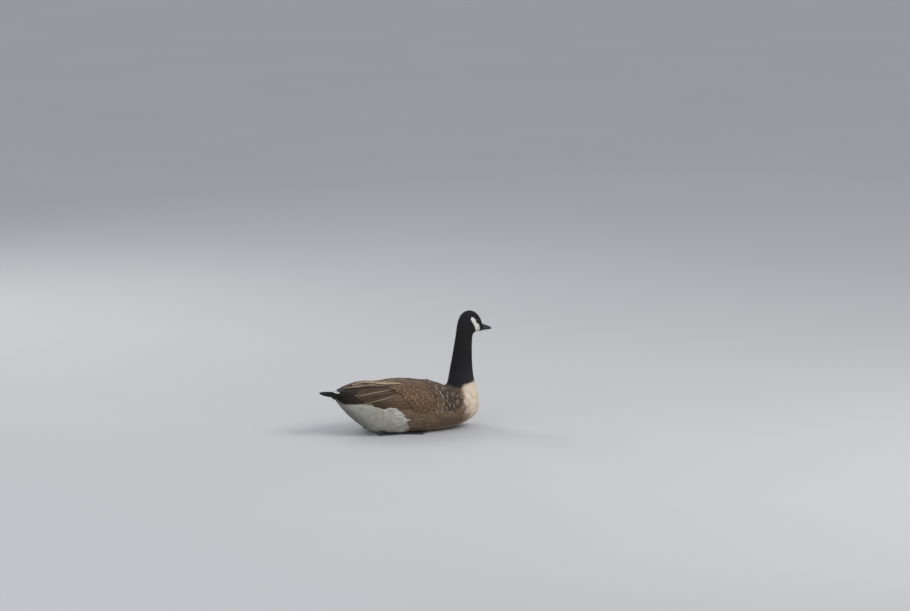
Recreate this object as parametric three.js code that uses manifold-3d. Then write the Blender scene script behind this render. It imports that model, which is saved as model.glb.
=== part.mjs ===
// A life-size Canada goose that rests on its belly with its feet tucked under.
// Millimetres. +X is forward, +Y the bird's left, +Z up, and the floor is z = 0.
import * as THREE from 'three';
import { mergeVertices } from 'three/addons/utils/BufferGeometryUtils.js';
import Module from 'manifold-3d';

const wasm = await Module();
wasm.setup();

// Sizes that drive the model
const GAP = 0.3;                 // left between nodes that touch
const HEAD_PIVOT_X = 234;        // the neck's axis, which the head turns about
const HEAD_YAW = 14.5;           // degrees to the bird's left
const BILL_LENGTH = 46;
const BILL_PITCH = 7;            // degrees nose down
const EYE_RADIUS = 6.2;
const FEATHER_THICKNESS = 1.1;   // of a flight feather's vane at its shaft
const FEATHER_EDGE = 0.6;        // and at its edges

// The body's outline in side view. Each station has its dorsal point (dx, dz), its ventral point
// (vx, vz), half its width, how far down its widest level lies (0 dorsal, 1 ventral), the fullness
// of its section (2 is an ellipse) and its turn to the left in degrees.
const STATIONS = [
  { dx: -266, dz: 147.5, vx: -262, vz: 138, half: 16, low: 0.45, full: 2.0, turn: 0 },
  { dx: -240, dz: 153, vx: -236, vz: 103, half: 42, low: 0.42, full: 2.1, turn: 0 },
  { dx: -213, dz: 157.5, vx: -213, vz: 77, half: 63, low: 0.42, full: 2.2, turn: 0 },
  { dx: -188, dz: 160.5, vx: -190, vz: 55, half: 79, low: 0.44, full: 2.25, turn: 0 },
  { dx: -158, dz: 165, vx: -163, vz: 32, half: 93, low: 0.47, full: 2.3, turn: 0 },
  { dx: -118, dz: 162.5, vx: -124, vz: 8, half: 106, low: 0.5, full: 2.35, turn: 0 },
  { dx: -70, dz: 164.5, vx: -75, vz: -3, half: 114, low: 0.52, full: 2.4, turn: 0 },
  { dx: -10, dz: 167.5, vx: -10, vz: -5, half: 118, low: 0.53, full: 2.4, turn: 0 },
  { dx: 50, dz: 165, vx: 60, vz: -5, half: 117, low: 0.54, full: 2.35, turn: 0 },
  { dx: 92, dz: 160, vx: 122, vz: -2, half: 113, low: 0.54, full: 2.3, turn: 0 },
  { dx: 122, dz: 154.5, vx: 180, vz: 5, half: 106, low: 0.53, full: 2.25, turn: 0 },
  { dx: 142, dz: 150, vx: 230, vz: 20, half: 97, low: 0.52, full: 2.2, turn: 0 },
  { dx: 155, dz: 147, vx: 262, vz: 38, half: 88, low: 0.52, full: 2.15, turn: 0 },
  { dx: 162.5, dz: 145.5, vx: 278, vz: 61, half: 78, low: 0.52, full: 2.1, turn: 0 },
  { dx: 167.5, dz: 146, vx: 282.5, vz: 92, half: 67, low: 0.52, full: 2.05, turn: 0 },
  { dx: 171, dz: 149, vx: 277, vz: 128, half: 56, low: 0.52, full: 2.0, turn: 0 },
  { dx: 174, dz: 155, vx: 269.5, vz: 161, half: 47, low: 0.52, full: 2.0, turn: 0 },
  { dx: 178, dz: 177, vx: 265.5, vz: 184, half: 40, low: 0.52, full: 2.0, turn: 0 },
  { dx: 183, dz: 207, vx: 263.5, vz: 211, half: 35, low: 0.52, full: 2.0, turn: 0 },
  { dx: 190, dz: 244, vx: 262, vz: 246, half: 31, low: 0.52, full: 2.0, turn: 0 },
  { dx: 197, dz: 283, vx: 262, vz: 283, half: 28.5, low: 0.5, full: 2.0, turn: 2 },
  { dx: 203, dz: 318, vx: 264, vz: 314, half: 27.5, low: 0.5, full: 2.0, turn: 7 },
  { dx: 207, dz: 343, vx: 267.5, vz: 326, half: 28, low: 0.48, full: 2.0, turn: 11 },
  { dx: 211.5, dz: 364, vx: 274, vz: 329, half: 29, low: 0.47, full: 2.05, turn: 13.5 },
  { dx: 218.5, dz: 383, vx: 281, vz: 330.5, half: 30, low: 0.48, full: 2.1, turn: HEAD_YAW },
  { dx: 230, dz: 399, vx: 286.5, vz: 331, half: 30, low: 0.5, full: 2.15, turn: HEAD_YAW },
  { dx: 246, dz: 407.3, vx: 291, vz: 331, half: 29, low: 0.52, full: 2.15, turn: HEAD_YAW },
  { dx: 262.5, dz: 408.5, vx: 295, vz: 331, half: 27, low: 0.54, full: 2.15, turn: HEAD_YAW },
  { dx: 277.5, dz: 403.5, vx: 299, vz: 331, half: 24.5, low: 0.56, full: 2.1, turn: HEAD_YAW },
  { dx: 290.5, dz: 393, vx: 302.5, vz: 331, half: 21, low: 0.6, full: 2.1, turn: HEAD_YAW },
  { dx: 300.5, dz: 378, vx: 305, vz: 331, half: 17, low: 0.62, full: 2.1, turn: HEAD_YAW },
  { dx: 306.5, dz: 360.5, vx: 307, vz: 331.5, half: 13, low: 0.62, full: 2.2, turn: HEAD_YAW },
];
// Where the nodes part, as places in the list above
const TAIL_END = 0;
const TAIL_ROOT = 2;
const NECK_ROOT = 16;
const HEAD_ROOT = 22;
const BILL_ROOT = STATIONS.length - 1;

const rad = THREE.MathUtils.degToRad;
const lerp = THREE.MathUtils.lerp;

// One smooth value between listed ones: a Catmull-Rom spline through equally spaced knots
function smooth(values, t) {
  const last = values.length - 1;
  const i = Math.min(Math.floor(t), last - 1);
  const f = t - i;
  const p1 = values[i];
  const p2 = values[i + 1];
  const p0 = i > 0 ? values[i - 1] : 2 * p1 - p2;
  const p3 = i + 2 <= last ? values[i + 2] : 2 * p2 - p1;
  const cubic = 3 * (p1 - p2) + p3 - p0;
  const square = 2 * p0 - 5 * p1 + 4 * p2 - p3;
  return p1 + 0.5 * f * (p2 - p0 + f * (square + f * cubic));
}

function station(t) {
  const result = {};
  for (const key of Object.keys(STATIONS[0])) {
    result[key] = smooth(STATIONS.map((s) => s[key]), t);
  }
  return result;
}

function turned(point, degrees) {
  const dx = point.x - HEAD_PIVOT_X;
  const c = Math.cos(rad(degrees));
  const s = Math.sin(rad(degrees));
  return new THREE.Vector3(HEAD_PIVOT_X + dx * c - point.y * s, dx * s + point.y * c, point.z);
}

// A point of the skin: around is 0 on the back, a quarter turn on the left side and a half turn on
// the belly. grow lifts the skin by that much.
function skinPoint(t, around, grow = 0) {
  const s = station(t);
  const down = new THREE.Vector2(s.vx - s.dx, s.vz - s.dz);
  const tall = down.length();
  down.normalize();
  const c = Math.cos(around);
  const w = Math.sin(around);
  const power = 2 / s.full;
  const side = Math.sign(w) * Math.abs(w) ** power * (s.half + grow);
  const reach = (c > 0 ? s.low * tall : (1 - s.low) * tall) + grow;
  const along = s.low * tall - Math.sign(c) * Math.abs(c) ** power * reach;
  const point = new THREE.Vector3(s.dx + down.x * along, side, s.dz + down.y * along);
  point.z = Math.max(point.z, grow > 0 ? -grow : 0);
  return turned(point, s.turn);
}

// Closed mesh from rings of equally many points. The ends are closed by fans.
function loft(rings) {
  const n = rings[0].length;
  const positions = [];
  const index = [];
  rings.forEach((ring) => ring.forEach((p) => positions.push(p.x, p.y, p.z)));
  for (let i = 0; i < rings.length - 1; i++) {
    for (let j = 0; j < n; j++) {
      const k = (j + 1) % n;
      const a = i * n + j;
      const b = i * n + k;
      index.push(a, b, b + n, a, b + n, a + n);
    }
  }
  const closeEnd = (ring, base, flip) => {
    const middle = new THREE.Vector3();
    ring.forEach((p) => middle.add(p));
    middle.divideScalar(n);
    const hub = positions.length / 3;
    positions.push(middle.x, middle.y, middle.z);
    for (let j = 0; j < n; j++) {
      const a = base + j;
      const b = base + ((j + 1) % n);
      index.push(...(flip ? [hub, b, a] : [hub, a, b]));
    }
  };
  closeEnd(rings[0], 0, true);
  closeEnd(rings[rings.length - 1], (rings.length - 1) * n, false);
  const geometry = new THREE.BufferGeometry();
  geometry.setAttribute('position', new THREE.Float32BufferAttribute(positions, 3));
  geometry.setIndex(index);
  return geometry;
}

// A geometry as a solid, turned right side out
function solid(geometry) {
  const bare = geometry.clone();
  bare.deleteAttribute('normal');
  bare.deleteAttribute('uv');
  const merged = mergeVertices(bare, 1e-4);
  const p = merged.attributes.position.array;
  const index = Array.from(merged.index.array);
  let volume = 0;
  const kept = [];
  for (let i = 0; i < index.length; i += 3) {
    const [a, b, c] = [index[i], index[i + 1], index[i + 2]];
    if (a === b || b === c || a === c) continue;
    kept.push(a, b, c);
    const [ax, ay, az] = [p[3 * a], p[3 * a + 1], p[3 * a + 2]];
    const [bx, by, bz] = [p[3 * b], p[3 * b + 1], p[3 * b + 2]];
    const [cx, cy, cz] = [p[3 * c], p[3 * c + 1], p[3 * c + 2]];
    volume += ax * (by * cz - bz * cy) + ay * (bz * cx - bx * cz) + az * (bx * cy - by * cx);
  }
  if (volume < 0) {
    for (let i = 0; i < kept.length; i += 3) {
      [kept[i + 1], kept[i + 2]] = [kept[i + 2], kept[i + 1]];
    }
  }
  const mesh = new wasm.Mesh({
    numProp: 3,
    vertProperties: new Float32Array(p),
    triVerts: new Uint32Array(kept),
  });
  return new wasm.Manifold(mesh);
}

const joined = (solids) => solids.slice(1).reduce((sum, next) => sum.add(next), solids[0]);

// The largest closed surface of a solid, which fills sealed hollows and drops loose scraps
function largest(body) {
  const parts = body.decompose();
  return parts.reduce((best, part) => (part.volume() > best.volume() ? part : best));
}

function meshOf(body, name, look) {
  const { vertProperties, triVerts, numProp } = body.getMesh();
  const positions = new Float32Array((vertProperties.length / numProp) * 3);
  for (let i = 0; i < positions.length / 3; i++) {
    for (let k = 0; k < 3; k++) {
      positions[3 * i + k] = vertProperties[numProp * i + k];
    }
  }
  const geometry = new THREE.BufferGeometry();
  geometry.setAttribute('position', new THREE.BufferAttribute(positions, 3));
  geometry.setIndex(new THREE.BufferAttribute(new Uint32Array(triVerts), 1));
  geometry.computeVertexNormals();
  const mesh = new THREE.Mesh(geometry, look);
  mesh.name = name;
  return mesh;
}

function mirrored(body) {
  return body.mirror([0, 1, 0]);
}

// The body's rings between two places in the list, each end moved back by half the gap
function skinRings(from, to, steps, count, grow = 0) {
  const rings = [];
  for (let i = 0; i <= steps; i++) {
    const t = lerp(from, to, i / steps);
    const ring = [];
    for (let j = 0; j < count; j++) {
      ring.push(skinPoint(t, (2 * Math.PI * j) / count, grow));
    }
    rings.push(ring);
  }
  const drawBack = (ring, inner) => {
    const quarter = Math.floor(count / 4);
    const u = ring[quarter].clone().sub(ring[0]);
    const v = ring[2 * quarter].clone().sub(ring[0]);
    const normal = u.cross(v).normalize();
    const inward = inner[0].clone().sub(ring[0]);
    if (normal.dot(inward) < 0) normal.negate();
    ring.forEach((p) => p.addScaledVector(normal, GAP / 2));
  };
  drawBack(rings[0], rings[1]);
  drawBack(rings[steps], rings[steps - 1]);
  return rings;
}

// Looks
const look = (color, roughness) => new THREE.MeshStandardMaterial({ color, roughness, metalness: 0 });
const BLACK_PLUMAGE = look(0x1d1a1b, 0.85);
const BROWN_PLUMAGE = look(0x6f5d4d, 0.85);
const BREAST_PLUMAGE = look(0xb9a992, 0.85);
const TAIL_BLACK = look(0x17151a, 0.75);
const BILL_HORN = look(0x161517, 0.45);
const EYE_BROWN = look(0x1a0f0a, 0.08);
const LEG_SKIN = look(0x1c1b1a, 0.55);

// A small ball, drawn out along each axis, used for eyes, nostrils and joints
function ball(centre, radii, segments = 8) {
  const geometry = new THREE.SphereGeometry(1, segments, Math.round(segments * 0.6));
  geometry.scale(radii.x, radii.y, radii.z);
  geometry.translate(centre.x, centre.y, centre.z);
  return solid(geometry);
}

// Torso and neck. All of the body's rings lie on the same places of the list.
const RINGS_PER_STATION = 2;
const TORSO_SIDES = 24;
const bodyRings = (from, to, grow = 0) =>
  skinRings(from, to, (to - from) * RINGS_PER_STATION, TORSO_SIDES, grow);
const torso = solid(loft(bodyRings(TAIL_ROOT, NECK_ROOT)));
const NECK_STEPS = 9;
const NECK_SIDES = 18;
const neck = solid(loft(skinRings(NECK_ROOT, HEAD_ROOT, NECK_STEPS, NECK_SIDES)));

// The body again, lifted by the gap, to cut what lies on it
const LIFT = 0.45;
const bodyClearance = solid(loft(bodyRings(TAIL_END, NECK_ROOT, LIFT)));

// Head, with a socket and lids round each eye
const HEAD_STEPS = 15;
const HEAD_SIDES = 20;
const EYE_PLACE = { t: 26.8, around: rad(80), sink: 3.6 };
function eyeCentre(side) {
  const on = skinPoint(EYE_PLACE.t, side * EYE_PLACE.around);
  const inside = skinPoint(EYE_PLACE.t, -side * EYE_PLACE.around);
  return on.add(inside.sub(on).setLength(EYE_PLACE.sink));
}

// The directions at an eye: ahead along the head, up, and out of the head
function eyeFrame(side) {
  const out = skinPoint(EYE_PLACE.t, side * EYE_PLACE.around)
    .sub(skinPoint(EYE_PLACE.t, -side * EYE_PLACE.around))
    .normalize();
  const up = new THREE.Vector3(0, 0, 1);
  const ahead = new THREE.Vector3().crossVectors(out, up).normalize();
  if (ahead.x < 0) ahead.negate();
  up.crossVectors(ahead, out).normalize();
  if (up.z < 0) up.negate();
  return new THREE.Matrix4().makeBasis(ahead, up, out);
}

// One lid: a low mound above or below the eye, which the socket then opens to a slanted almond
const LID = { long: 8.9, tall: 6.1, out: 5.4, shift: 2.4 };
function lid(side, way) {
  const geometry = new THREE.SphereGeometry(1, 10, 7);
  const frame = eyeFrame(side);
  if (frame.determinant() < 0) geometry.scale(1, 1, -1);
  geometry.scale(LID.long, LID.tall, LID.out);
  geometry.translate(0, way * LID.shift, 0);
  geometry.applyMatrix4(frame);
  const centre = eyeCentre(side);
  geometry.translate(centre.x, centre.y, centre.z);
  return solid(geometry);
}

function headSolid() {
  let body = solid(loft(skinRings(HEAD_ROOT, BILL_ROOT, HEAD_STEPS, HEAD_SIDES)));
  for (const side of [1, -1]) {
    const centre = eyeCentre(side);
    const r = EYE_RADIUS + GAP;
    body = body.add(lid(side, 1)).add(lid(side, -1));
    body = body.subtract(ball(centre, new THREE.Vector3(r, r, r), 12));
  }
  return largest(body);
}

// Bill: upper and lower halves that part along the line of the mouth
const BILL_BASE = station(BILL_ROOT);
const BILL_STEPS = 9;
const BILL_SIDES = 14;
const MOUTH_HEIGHT = 9.2;        // over the bottom of the bill's base
const BILL_TIP = { over: 6.2, under: 2.6, half: 9.3, from: 0.8 };
function billFrame(u) {
  const reach = BILL_LENGTH * u;
  const baseOver = BILL_BASE.dz - BILL_BASE.vz - MOUTH_HEIGHT;
  const mouth = BILL_BASE.vz + MOUTH_HEIGHT - Math.tan(rad(BILL_PITCH)) * reach;
  const top = mouth + lerp(baseOver, BILL_TIP.over, u ** 0.8) + 0.9 * Math.sin(Math.PI * u);
  const bottom = mouth - lerp(MOUTH_HEIGHT, BILL_TIP.under, u ** 0.7);
  const end = Math.max(0, (u - BILL_TIP.from) / (1 - BILL_TIP.from));
  const round = Math.sqrt(Math.max(0, 1 - end ** 2));
  const half = lerp(BILL_BASE.half, BILL_TIP.half, Math.min(1, u / 0.75)) * Math.max(round, 0.12);
  return { x: BILL_BASE.vx + GAP + reach, top, bottom, mouth, half, round: Math.max(round, 0.2) };
}

function billRing(u, upper) {
  const f = billFrame(u);
  const ring = [];
  const half = Math.PI / (BILL_SIDES / 2);
  const tallness = upper ? f.top - f.mouth : f.mouth - f.bottom;
  const tall = (tallness - GAP / 2) * (0.45 + 0.55 * f.round);
  for (let j = 0; j <= BILL_SIDES / 2; j++) {
    const a = j * half;
    const lift = Math.sin(a) ** 0.8 * tall + GAP / 2;
    const y = Math.cos(a) * f.half * (upper ? 1 : 0.9);
    ring.push(turned(new THREE.Vector3(f.x, y, f.mouth + (upper ? lift : -lift)), HEAD_YAW));
  }
  return ring;
}

function billSolid(upper) {
  const rings = [];
  const reach = upper ? 1 : 0.95;
  for (let i = 0; i <= BILL_STEPS; i++) {
    const u = 1 - (1 - i / BILL_STEPS) ** 1.35;
    rings.push(billRing(u * reach, upper));
  }
  let body = solid(loft(rings));
  if (upper) {
    const at = billFrame(0.42);
    for (const side of [1, -1]) {
      const centre = new THREE.Vector3(at.x, side * at.half * 0.86, lerp(at.mouth, at.top, 0.6));
      body = body.subtract(ball(turned(centre, HEAD_YAW), new THREE.Vector3(4.2, 2.1, 1.5), 8));
    }
  }
  return largest(body);
}

// Guide surface of the folded wing. Each station has the lower edge (by, bz), the pull of the
// outermost stretch (my, mz) and the upper inner edge (ty, tz), for the left wing.
const WING_FRONT = 148;
const WING_TIP = -262;
const WING_STATIONS = [
  { x: 148, by: 92, bz: 88, my: 108, mz: 142, ty: 44, tz: 148, thick: 5 },
  { x: 110, by: 107, bz: 80, my: 127, mz: 152, ty: 26, tz: 161.5, thick: 10 },
  { x: 60, by: 115, bz: 77, my: 137, mz: 162, ty: 12, tz: 172, thick: 13 },
  { x: 5, by: 118, bz: 80, my: 142, mz: 170, ty: 4, tz: 179, thick: 15 },
  { x: -50, by: 115, bz: 88, my: 137, mz: 172.5, ty: 3, tz: 177.5, thick: 16 },
  { x: -100, by: 105, bz: 100, my: 124, mz: 172.5, ty: 3, tz: 174, thick: 16 },
  { x: -150, by: 88, bz: 112, my: 104, mz: 176.5, ty: 3, tz: 177.5, thick: 16 },
  { x: -200, by: 67, bz: 117, my: 80, mz: 167, ty: 3, tz: 168, thick: 12 },
  { x: -240, by: 46, bz: 121, my: 54, mz: 156, ty: 3, tz: 159.5, thick: 6 },
  { x: -262, by: 30, bz: 134, my: 34, mz: 152, ty: 4, tz: 155, thick: 2.5 },
];

function wingStation(x) {
  const xs = WING_STATIONS.map((s) => s.x);
  let i = 0;
  while (i < xs.length - 2 && x < xs[i + 1]) i++;
  const t = THREE.MathUtils.clamp(i + (xs[i] - x) / (xs[i] - xs[i + 1]), 0, xs.length - 1);
  const result = {};
  for (const key of Object.keys(WING_STATIONS[0])) {
    result[key] = smooth(WING_STATIONS.map((s) => s[key]), t);
  }
  return result;
}

// A point of the guide surface: q is 0 on the lower edge and 1 on the inner edge. lift moves it out.
function wingPoint(x, q, lift = 0) {
  const s = wingStation(x);
  const y = (1 - q) ** 2 * s.by + 2 * q * (1 - q) * s.my + q * q * s.ty;
  const z = (1 - q) ** 2 * s.bz + 2 * q * (1 - q) * s.mz + q * q * s.tz;
  const dy = 2 * (1 - q) * (s.my - s.by) + 2 * q * (s.ty - s.my);
  const dz = 2 * (1 - q) * (s.mz - s.bz) + 2 * q * (s.tz - s.mz);
  const long = Math.hypot(dy, dz);
  const py = y + (dz / long) * lift;
  const pz = z - (dy / long) * lift;
  return new THREE.Vector3(x, Math.max(py, 0.6), pz);
}

// A feather's vane from rows of points. Each row holds the left edge, the shaft and the right edge on
// its upper face, and how far below them its lower face lies.
function vane(rows) {
  const rings = rows.map(({ left, shaft, right, leftUnder, shaftUnder, rightUnder }) => (
    [left, shaft, right, rightUnder, shaftUnder, leftUnder]));
  return solid(loft(rings));
}

// Outline of a feather: where its rows lie along it, and how wide it is there
const ROOT_END = 0.22;
const LONG_ROWS = [0, ROOT_END, 0.6, 0.87, 1];
const SHORT_ROWS = [0, ROOT_END, 0.78, 1];
function breadth(u, tip = 0.3) {
  const root = lerp(0.7, 1, Math.min(1, u / 0.45));
  const end = Math.max(0, (u - (1 - tip)) / tip);
  return root * Math.max(0.22, Math.sqrt(Math.max(0, 1 - end * end)));
}

// A feather that lies on the guide surface of the wing, from its root to its tip. spacing is how far
// its neighbours lie, as a share of the way across the wing. It tilts so that it lies over the
// neighbour below and under the one above with CLEAR between them.
const CLEAR = 0.35;
const ROOT_DEPTH = 5;
function wingFeather({ from, to, spacing, overlap, base, rise, rows }) {
  const list = rows.map((u) => {
    const x = lerp(from.x, to.x, u);
    const q = lerp(from.q, to.q, u);
    const lift = u < ROOT_END ? -ROOT_DEPTH : lerp(base, rise, (u - ROOT_END) / (1 - ROOT_END));
    const share = overlap * breadth(u);
    const reach = lerp(spacing[0], spacing[1], u) * share;
    const tilt = (FEATHER_THICKNESS + CLEAR) * share;
    const low = q - reach;
    const high = Math.min(q + reach, 1);
    return {
      left: wingPoint(x, low, lift + tilt),
      shaft: wingPoint(x, (low + high) / 2, lift + FEATHER_THICKNESS - FEATHER_EDGE),
      right: wingPoint(x, high, lift - tilt),
      leftUnder: wingPoint(x, low, lift + tilt - FEATHER_EDGE),
      shaftUnder: wingPoint(x, (low + high) / 2, lift - FEATHER_EDGE),
      rightUnder: wingPoint(x, high, lift - tilt - FEATHER_EDGE),
    };
  });
  return vane(list);
}

const CORE_DEPTH = 2.2;
const WING_CORE_END = -236;
const WING_STEPS = 12;
const WING_ACROSS = 6;
function wingCore() {
  const rings = [];
  for (let i = 0; i <= WING_STEPS; i++) {
    const x = lerp(WING_FRONT, WING_CORE_END, i / WING_STEPS);
    const thick = wingStation(x).thick;
    const ring = [];
    for (let j = 0; j <= WING_ACROSS; j++) ring.push(wingPoint(x, j / WING_ACROSS, -CORE_DEPTH));
    for (let j = WING_ACROSS; j >= 0; j--) {
      ring.push(wingPoint(x, j / WING_ACROSS, -CORE_DEPTH - thick));
    }
    rings.push(ring);
  }
  return solid(loft(rings));
}

// Tiers of the folded wing from the flight feathers forward. Each has its count, how far a feather
// reaches over its neighbours, where the lowest and the highest one's root and tip lie, and how
// high they stand over the guide surface behind the root and at the tip.
const WING_TIERS = [
  { name: 'primaries', count: 5, overlap: 1.6, base: [-4.4, -3.2], rise: [-1.2, 3.8],
    rows: LONG_ROWS, roots: [[-160, 0.2], [-150, 0.6]], tips: [[-262, 0.1], [-222, 0.8]] },
  { name: 'secondaries', count: 6, overlap: 0.75, base: [-0.4, 0.6], rise: [1.2, 2.4],
    rows: LONG_ROWS, roots: [[-35, 0.08], [-60, 0.42]], tips: [[-128, 0.05], [-196, 0.44]] },
  { name: 'tertials', count: 4, overlap: 0.8, base: [1, 1.4], rise: [3.4, 4.2],
    rows: LONG_ROWS, roots: [[-60, 0.48], [-75, 0.9]], tips: [[-180, 0.5], [-222, 0.88]] },
  { name: 'greater coverts', count: 6, overlap: 0.68, base: [-0.4, -0.4], rise: [2.6, 3.4],
    rows: LONG_ROWS, roots: [[40, 0.06], [8, 0.66]], tips: [[-62, 0.07], [-100, 0.64]] },
  { name: 'median coverts', count: 5, overlap: 0.68, base: [-0.4, -0.4], rise: [2.4, 2.4],
    rows: SHORT_ROWS, roots: [[78, 0.06], [56, 0.66]], tips: [[10, 0.07], [-24, 0.64]] },
  { name: 'lesser coverts', count: 4, overlap: 0.68, base: [-0.4, -0.4], rise: [2.2, 2.2],
    rows: SHORT_ROWS, roots: [[112, 0.08], [98, 0.66]], tips: [[56, 0.08], [32, 0.64]] },
  { name: 'marginal coverts', count: 3, overlap: 0.68, base: [-0.4, -0.4], rise: [2, 2],
    rows: SHORT_ROWS, roots: [[143, 0.12], [137, 0.7]], tips: [[94, 0.12], [76, 0.66]] },
  { name: 'rear scapulars', count: 2, overlap: 0.66, base: [1.4, 1.4], rise: [3.8, 3.8],
    rows: LONG_ROWS, roots: [[20, 0.74], [10, 0.92]], tips: [[-88, 0.74], [-118, 0.9]] },
  { name: 'middle scapulars', count: 2, overlap: 0.66, base: [0.8, 0.8], rise: [3.6, 3.6],
    rows: LONG_ROWS, roots: [[55, 0.76], [50, 0.93]], tips: [[-32, 0.76], [-56, 0.92]] },
  { name: 'front scapulars', count: 2, overlap: 0.66, base: [0.4, 0.4], rise: [3.2, 3.2],
    rows: SHORT_ROWS, roots: [[90, 0.77], [85, 0.93]], tips: [[18, 0.77], [-2, 0.93]] },
  { name: 'shoulder', count: 2, overlap: 0.66, base: [0.2, 0.2], rise: [2.8, 2.8],
    rows: SHORT_ROWS, roots: [[125, 0.8], [120, 0.94]], tips: [[64, 0.79], [50, 0.93]] },
];

// Feathers differ a little, the same way on every run
let seed = 7;
function vary(amount) {
  seed = (seed * 16807) % 2147483647;
  return (seed / 2147483647 - 0.5) * 2 * amount;
}

function wingFeathers() {
  const feathers = [];
  for (const tier of WING_TIERS) {
    for (let i = 0; i < tier.count; i++) {
      const k = i / (tier.count - 1);
      const between = (pair, axis) => lerp(pair[0][axis], pair[1][axis], k);
      const gap = (pair) => (pair[1][1] - pair[0][1]) / (tier.count - 1);
      feathers.push(wingFeather({
        from: { x: between(tier.roots, 0), q: between(tier.roots, 1) },
        to: { x: between(tier.tips, 0) + vary(2.5), q: between(tier.tips, 1) },
        spacing: [gap(tier.roots), gap(tier.tips)],
        overlap: tier.overlap,
        base: lerp(tier.base[0], tier.base[1], k),
        rise: lerp(tier.rise[0], tier.rise[1], k) + vary(0.1),
        rows: tier.rows,
      }));
    }
  }
  return feathers;
}

// Tail: rectrices in a fan from a point inside the rump, with coverts above and below. Each lies
// under its neighbour nearer the middle.
const TAIL_TIP_X = -311;
const TAIL_FAN_X = -185;
const TAIL_PAIRS = 6;
const TAIL_SPREAD = 25;          // degrees from the middle to the outermost feather
const TAIL_OVERLAP = 0.85;
const TAIL_ARCH = 0.0011;        // how fast the fan drops to its sides
const TAIL_ROOT_X = STATIONS[TAIL_ROOT].dx - 8;
function tailFeather({ angle, step, reach, z0, z1, side, rows = LONG_ROWS, tip = 0.2 }) {
  const direction = new THREE.Vector3(-Math.cos(angle), side * Math.sin(angle), 0);
  const outward = new THREE.Vector3(Math.sin(angle), side * Math.cos(angle), 0);
  const start = (TAIL_FAN_X - TAIL_ROOT_X) / Math.cos(angle);
  const tilt = angle > 0 ? 1 : 0;
  const list = rows.map((u) => {
    const along = lerp(start, reach, u);
    const centre = new THREE.Vector3(TAIL_FAN_X, 0, lerp(z0, z1, u)).addScaledVector(direction, along);
    centre.z -= TAIL_ARCH * centre.y ** 2;
    const share = TAIL_OVERLAP * breadth(u, tip);
    const half = share * step * along;
    const roll = (FEATHER_THICKNESS + CLEAR) * share * tilt;
    const point = (a, drop) => {
      const p = centre.clone().addScaledVector(outward, a * half);
      p.z += a * roll - drop;
      return p;
    };
    return {
      left: point(-1, 0),
      shaft: point(0, FEATHER_EDGE - FEATHER_THICKNESS),
      right: point(1, 0),
      leftUnder: point(-1, FEATHER_EDGE),
      shaftUnder: point(0, FEATHER_EDGE),
      rightUnder: point(1, FEATHER_EDGE),
    };
  });
  return vane(list);
}

// Tail coverts of one side: the first lie over the fan's roots, the others under them
const TAIL_COVERTS = [
  { degrees: 9, reach: 84, z0: 153.5, z1: 151.5 },
  { degrees: 25, reach: 80, z0: 153.5, z1: 151.5 },
  { degrees: 9, reach: 96, z0: 126, z1: 136 },
  { degrees: 25, reach: 92, z0: 126, z1: 136 },
];

function tailSolid() {
  const parts = [solid(loft(bodyRings(TAIL_END, TAIL_ROOT)))];
  const step = rad(TAIL_SPREAD) / TAIL_PAIRS;
  const longest = TAIL_FAN_X - TAIL_TIP_X;
  const OUTERMOST = 112;
  const TOP_LIFT = 1.7;
  const fan = { z0: 146.5, z1: 146 };
  const top = { z0: fan.z0 + TOP_LIFT, z1: fan.z1 + TOP_LIFT };
  parts.push(tailFeather({ ...top, angle: 0, step: step * 1.1, reach: longest, side: 1 }));
  for (const side of [1, -1]) {
    for (let k = 1; k <= TAIL_PAIRS; k++) {
      const reach = lerp(longest, OUTERMOST, (k / TAIL_PAIRS) ** 2) + vary(1);
      parts.push(tailFeather({ ...fan, angle: step * k, step, reach, side }));
    }
    for (const { degrees, reach, z0, z1 } of TAIL_COVERTS) {
      const shape = { rows: SHORT_ROWS, tip: 0.5, step: rad(15) };
      parts.push(tailFeather({ ...shape, angle: rad(degrees), reach, z0, z1, side }));
    }
  }
  return largest(joined(parts));
}

// The space that the tail's feathers lie in, for what must keep clear of it
const FAN_SPACE = { top: 158.5, tipTop: 151.5, bottom: 124, half: 34, tipHalf: 76, arch: 4 };
function tailSpace() {
  const rings = [];
  const STEPS = 5;
  const ACROSS = 8;
  for (let i = 0; i <= STEPS; i++) {
    const u = i / STEPS;
    const x = lerp(STATIONS[TAIL_ROOT].dx + 1, TAIL_TIP_X - 3, u);
    const top = lerp(FAN_SPACE.top, FAN_SPACE.tipTop, u ** 0.85);
    const half = lerp(FAN_SPACE.half, FAN_SPACE.tipHalf, u);
    const across = [];
    for (let j = 0; j <= ACROSS; j++) across.push((2 * j) / ACROSS - 1);
    const upper = across.map((a) => new THREE.Vector3(x, a * half, top - FAN_SPACE.arch * a * a));
    const under = across.map((a) => new THREE.Vector3(x, a * half, FAN_SPACE.bottom));
    rings.push([...upper, ...under.reverse()]);
  }
  return solid(loft(rings));
}

// All that lies under the floor
const floorBox = new THREE.BoxGeometry(900, 500, 40);
floorBox.translate(0, 0, -20);
const belowFloor = solid(floorBox);

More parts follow.
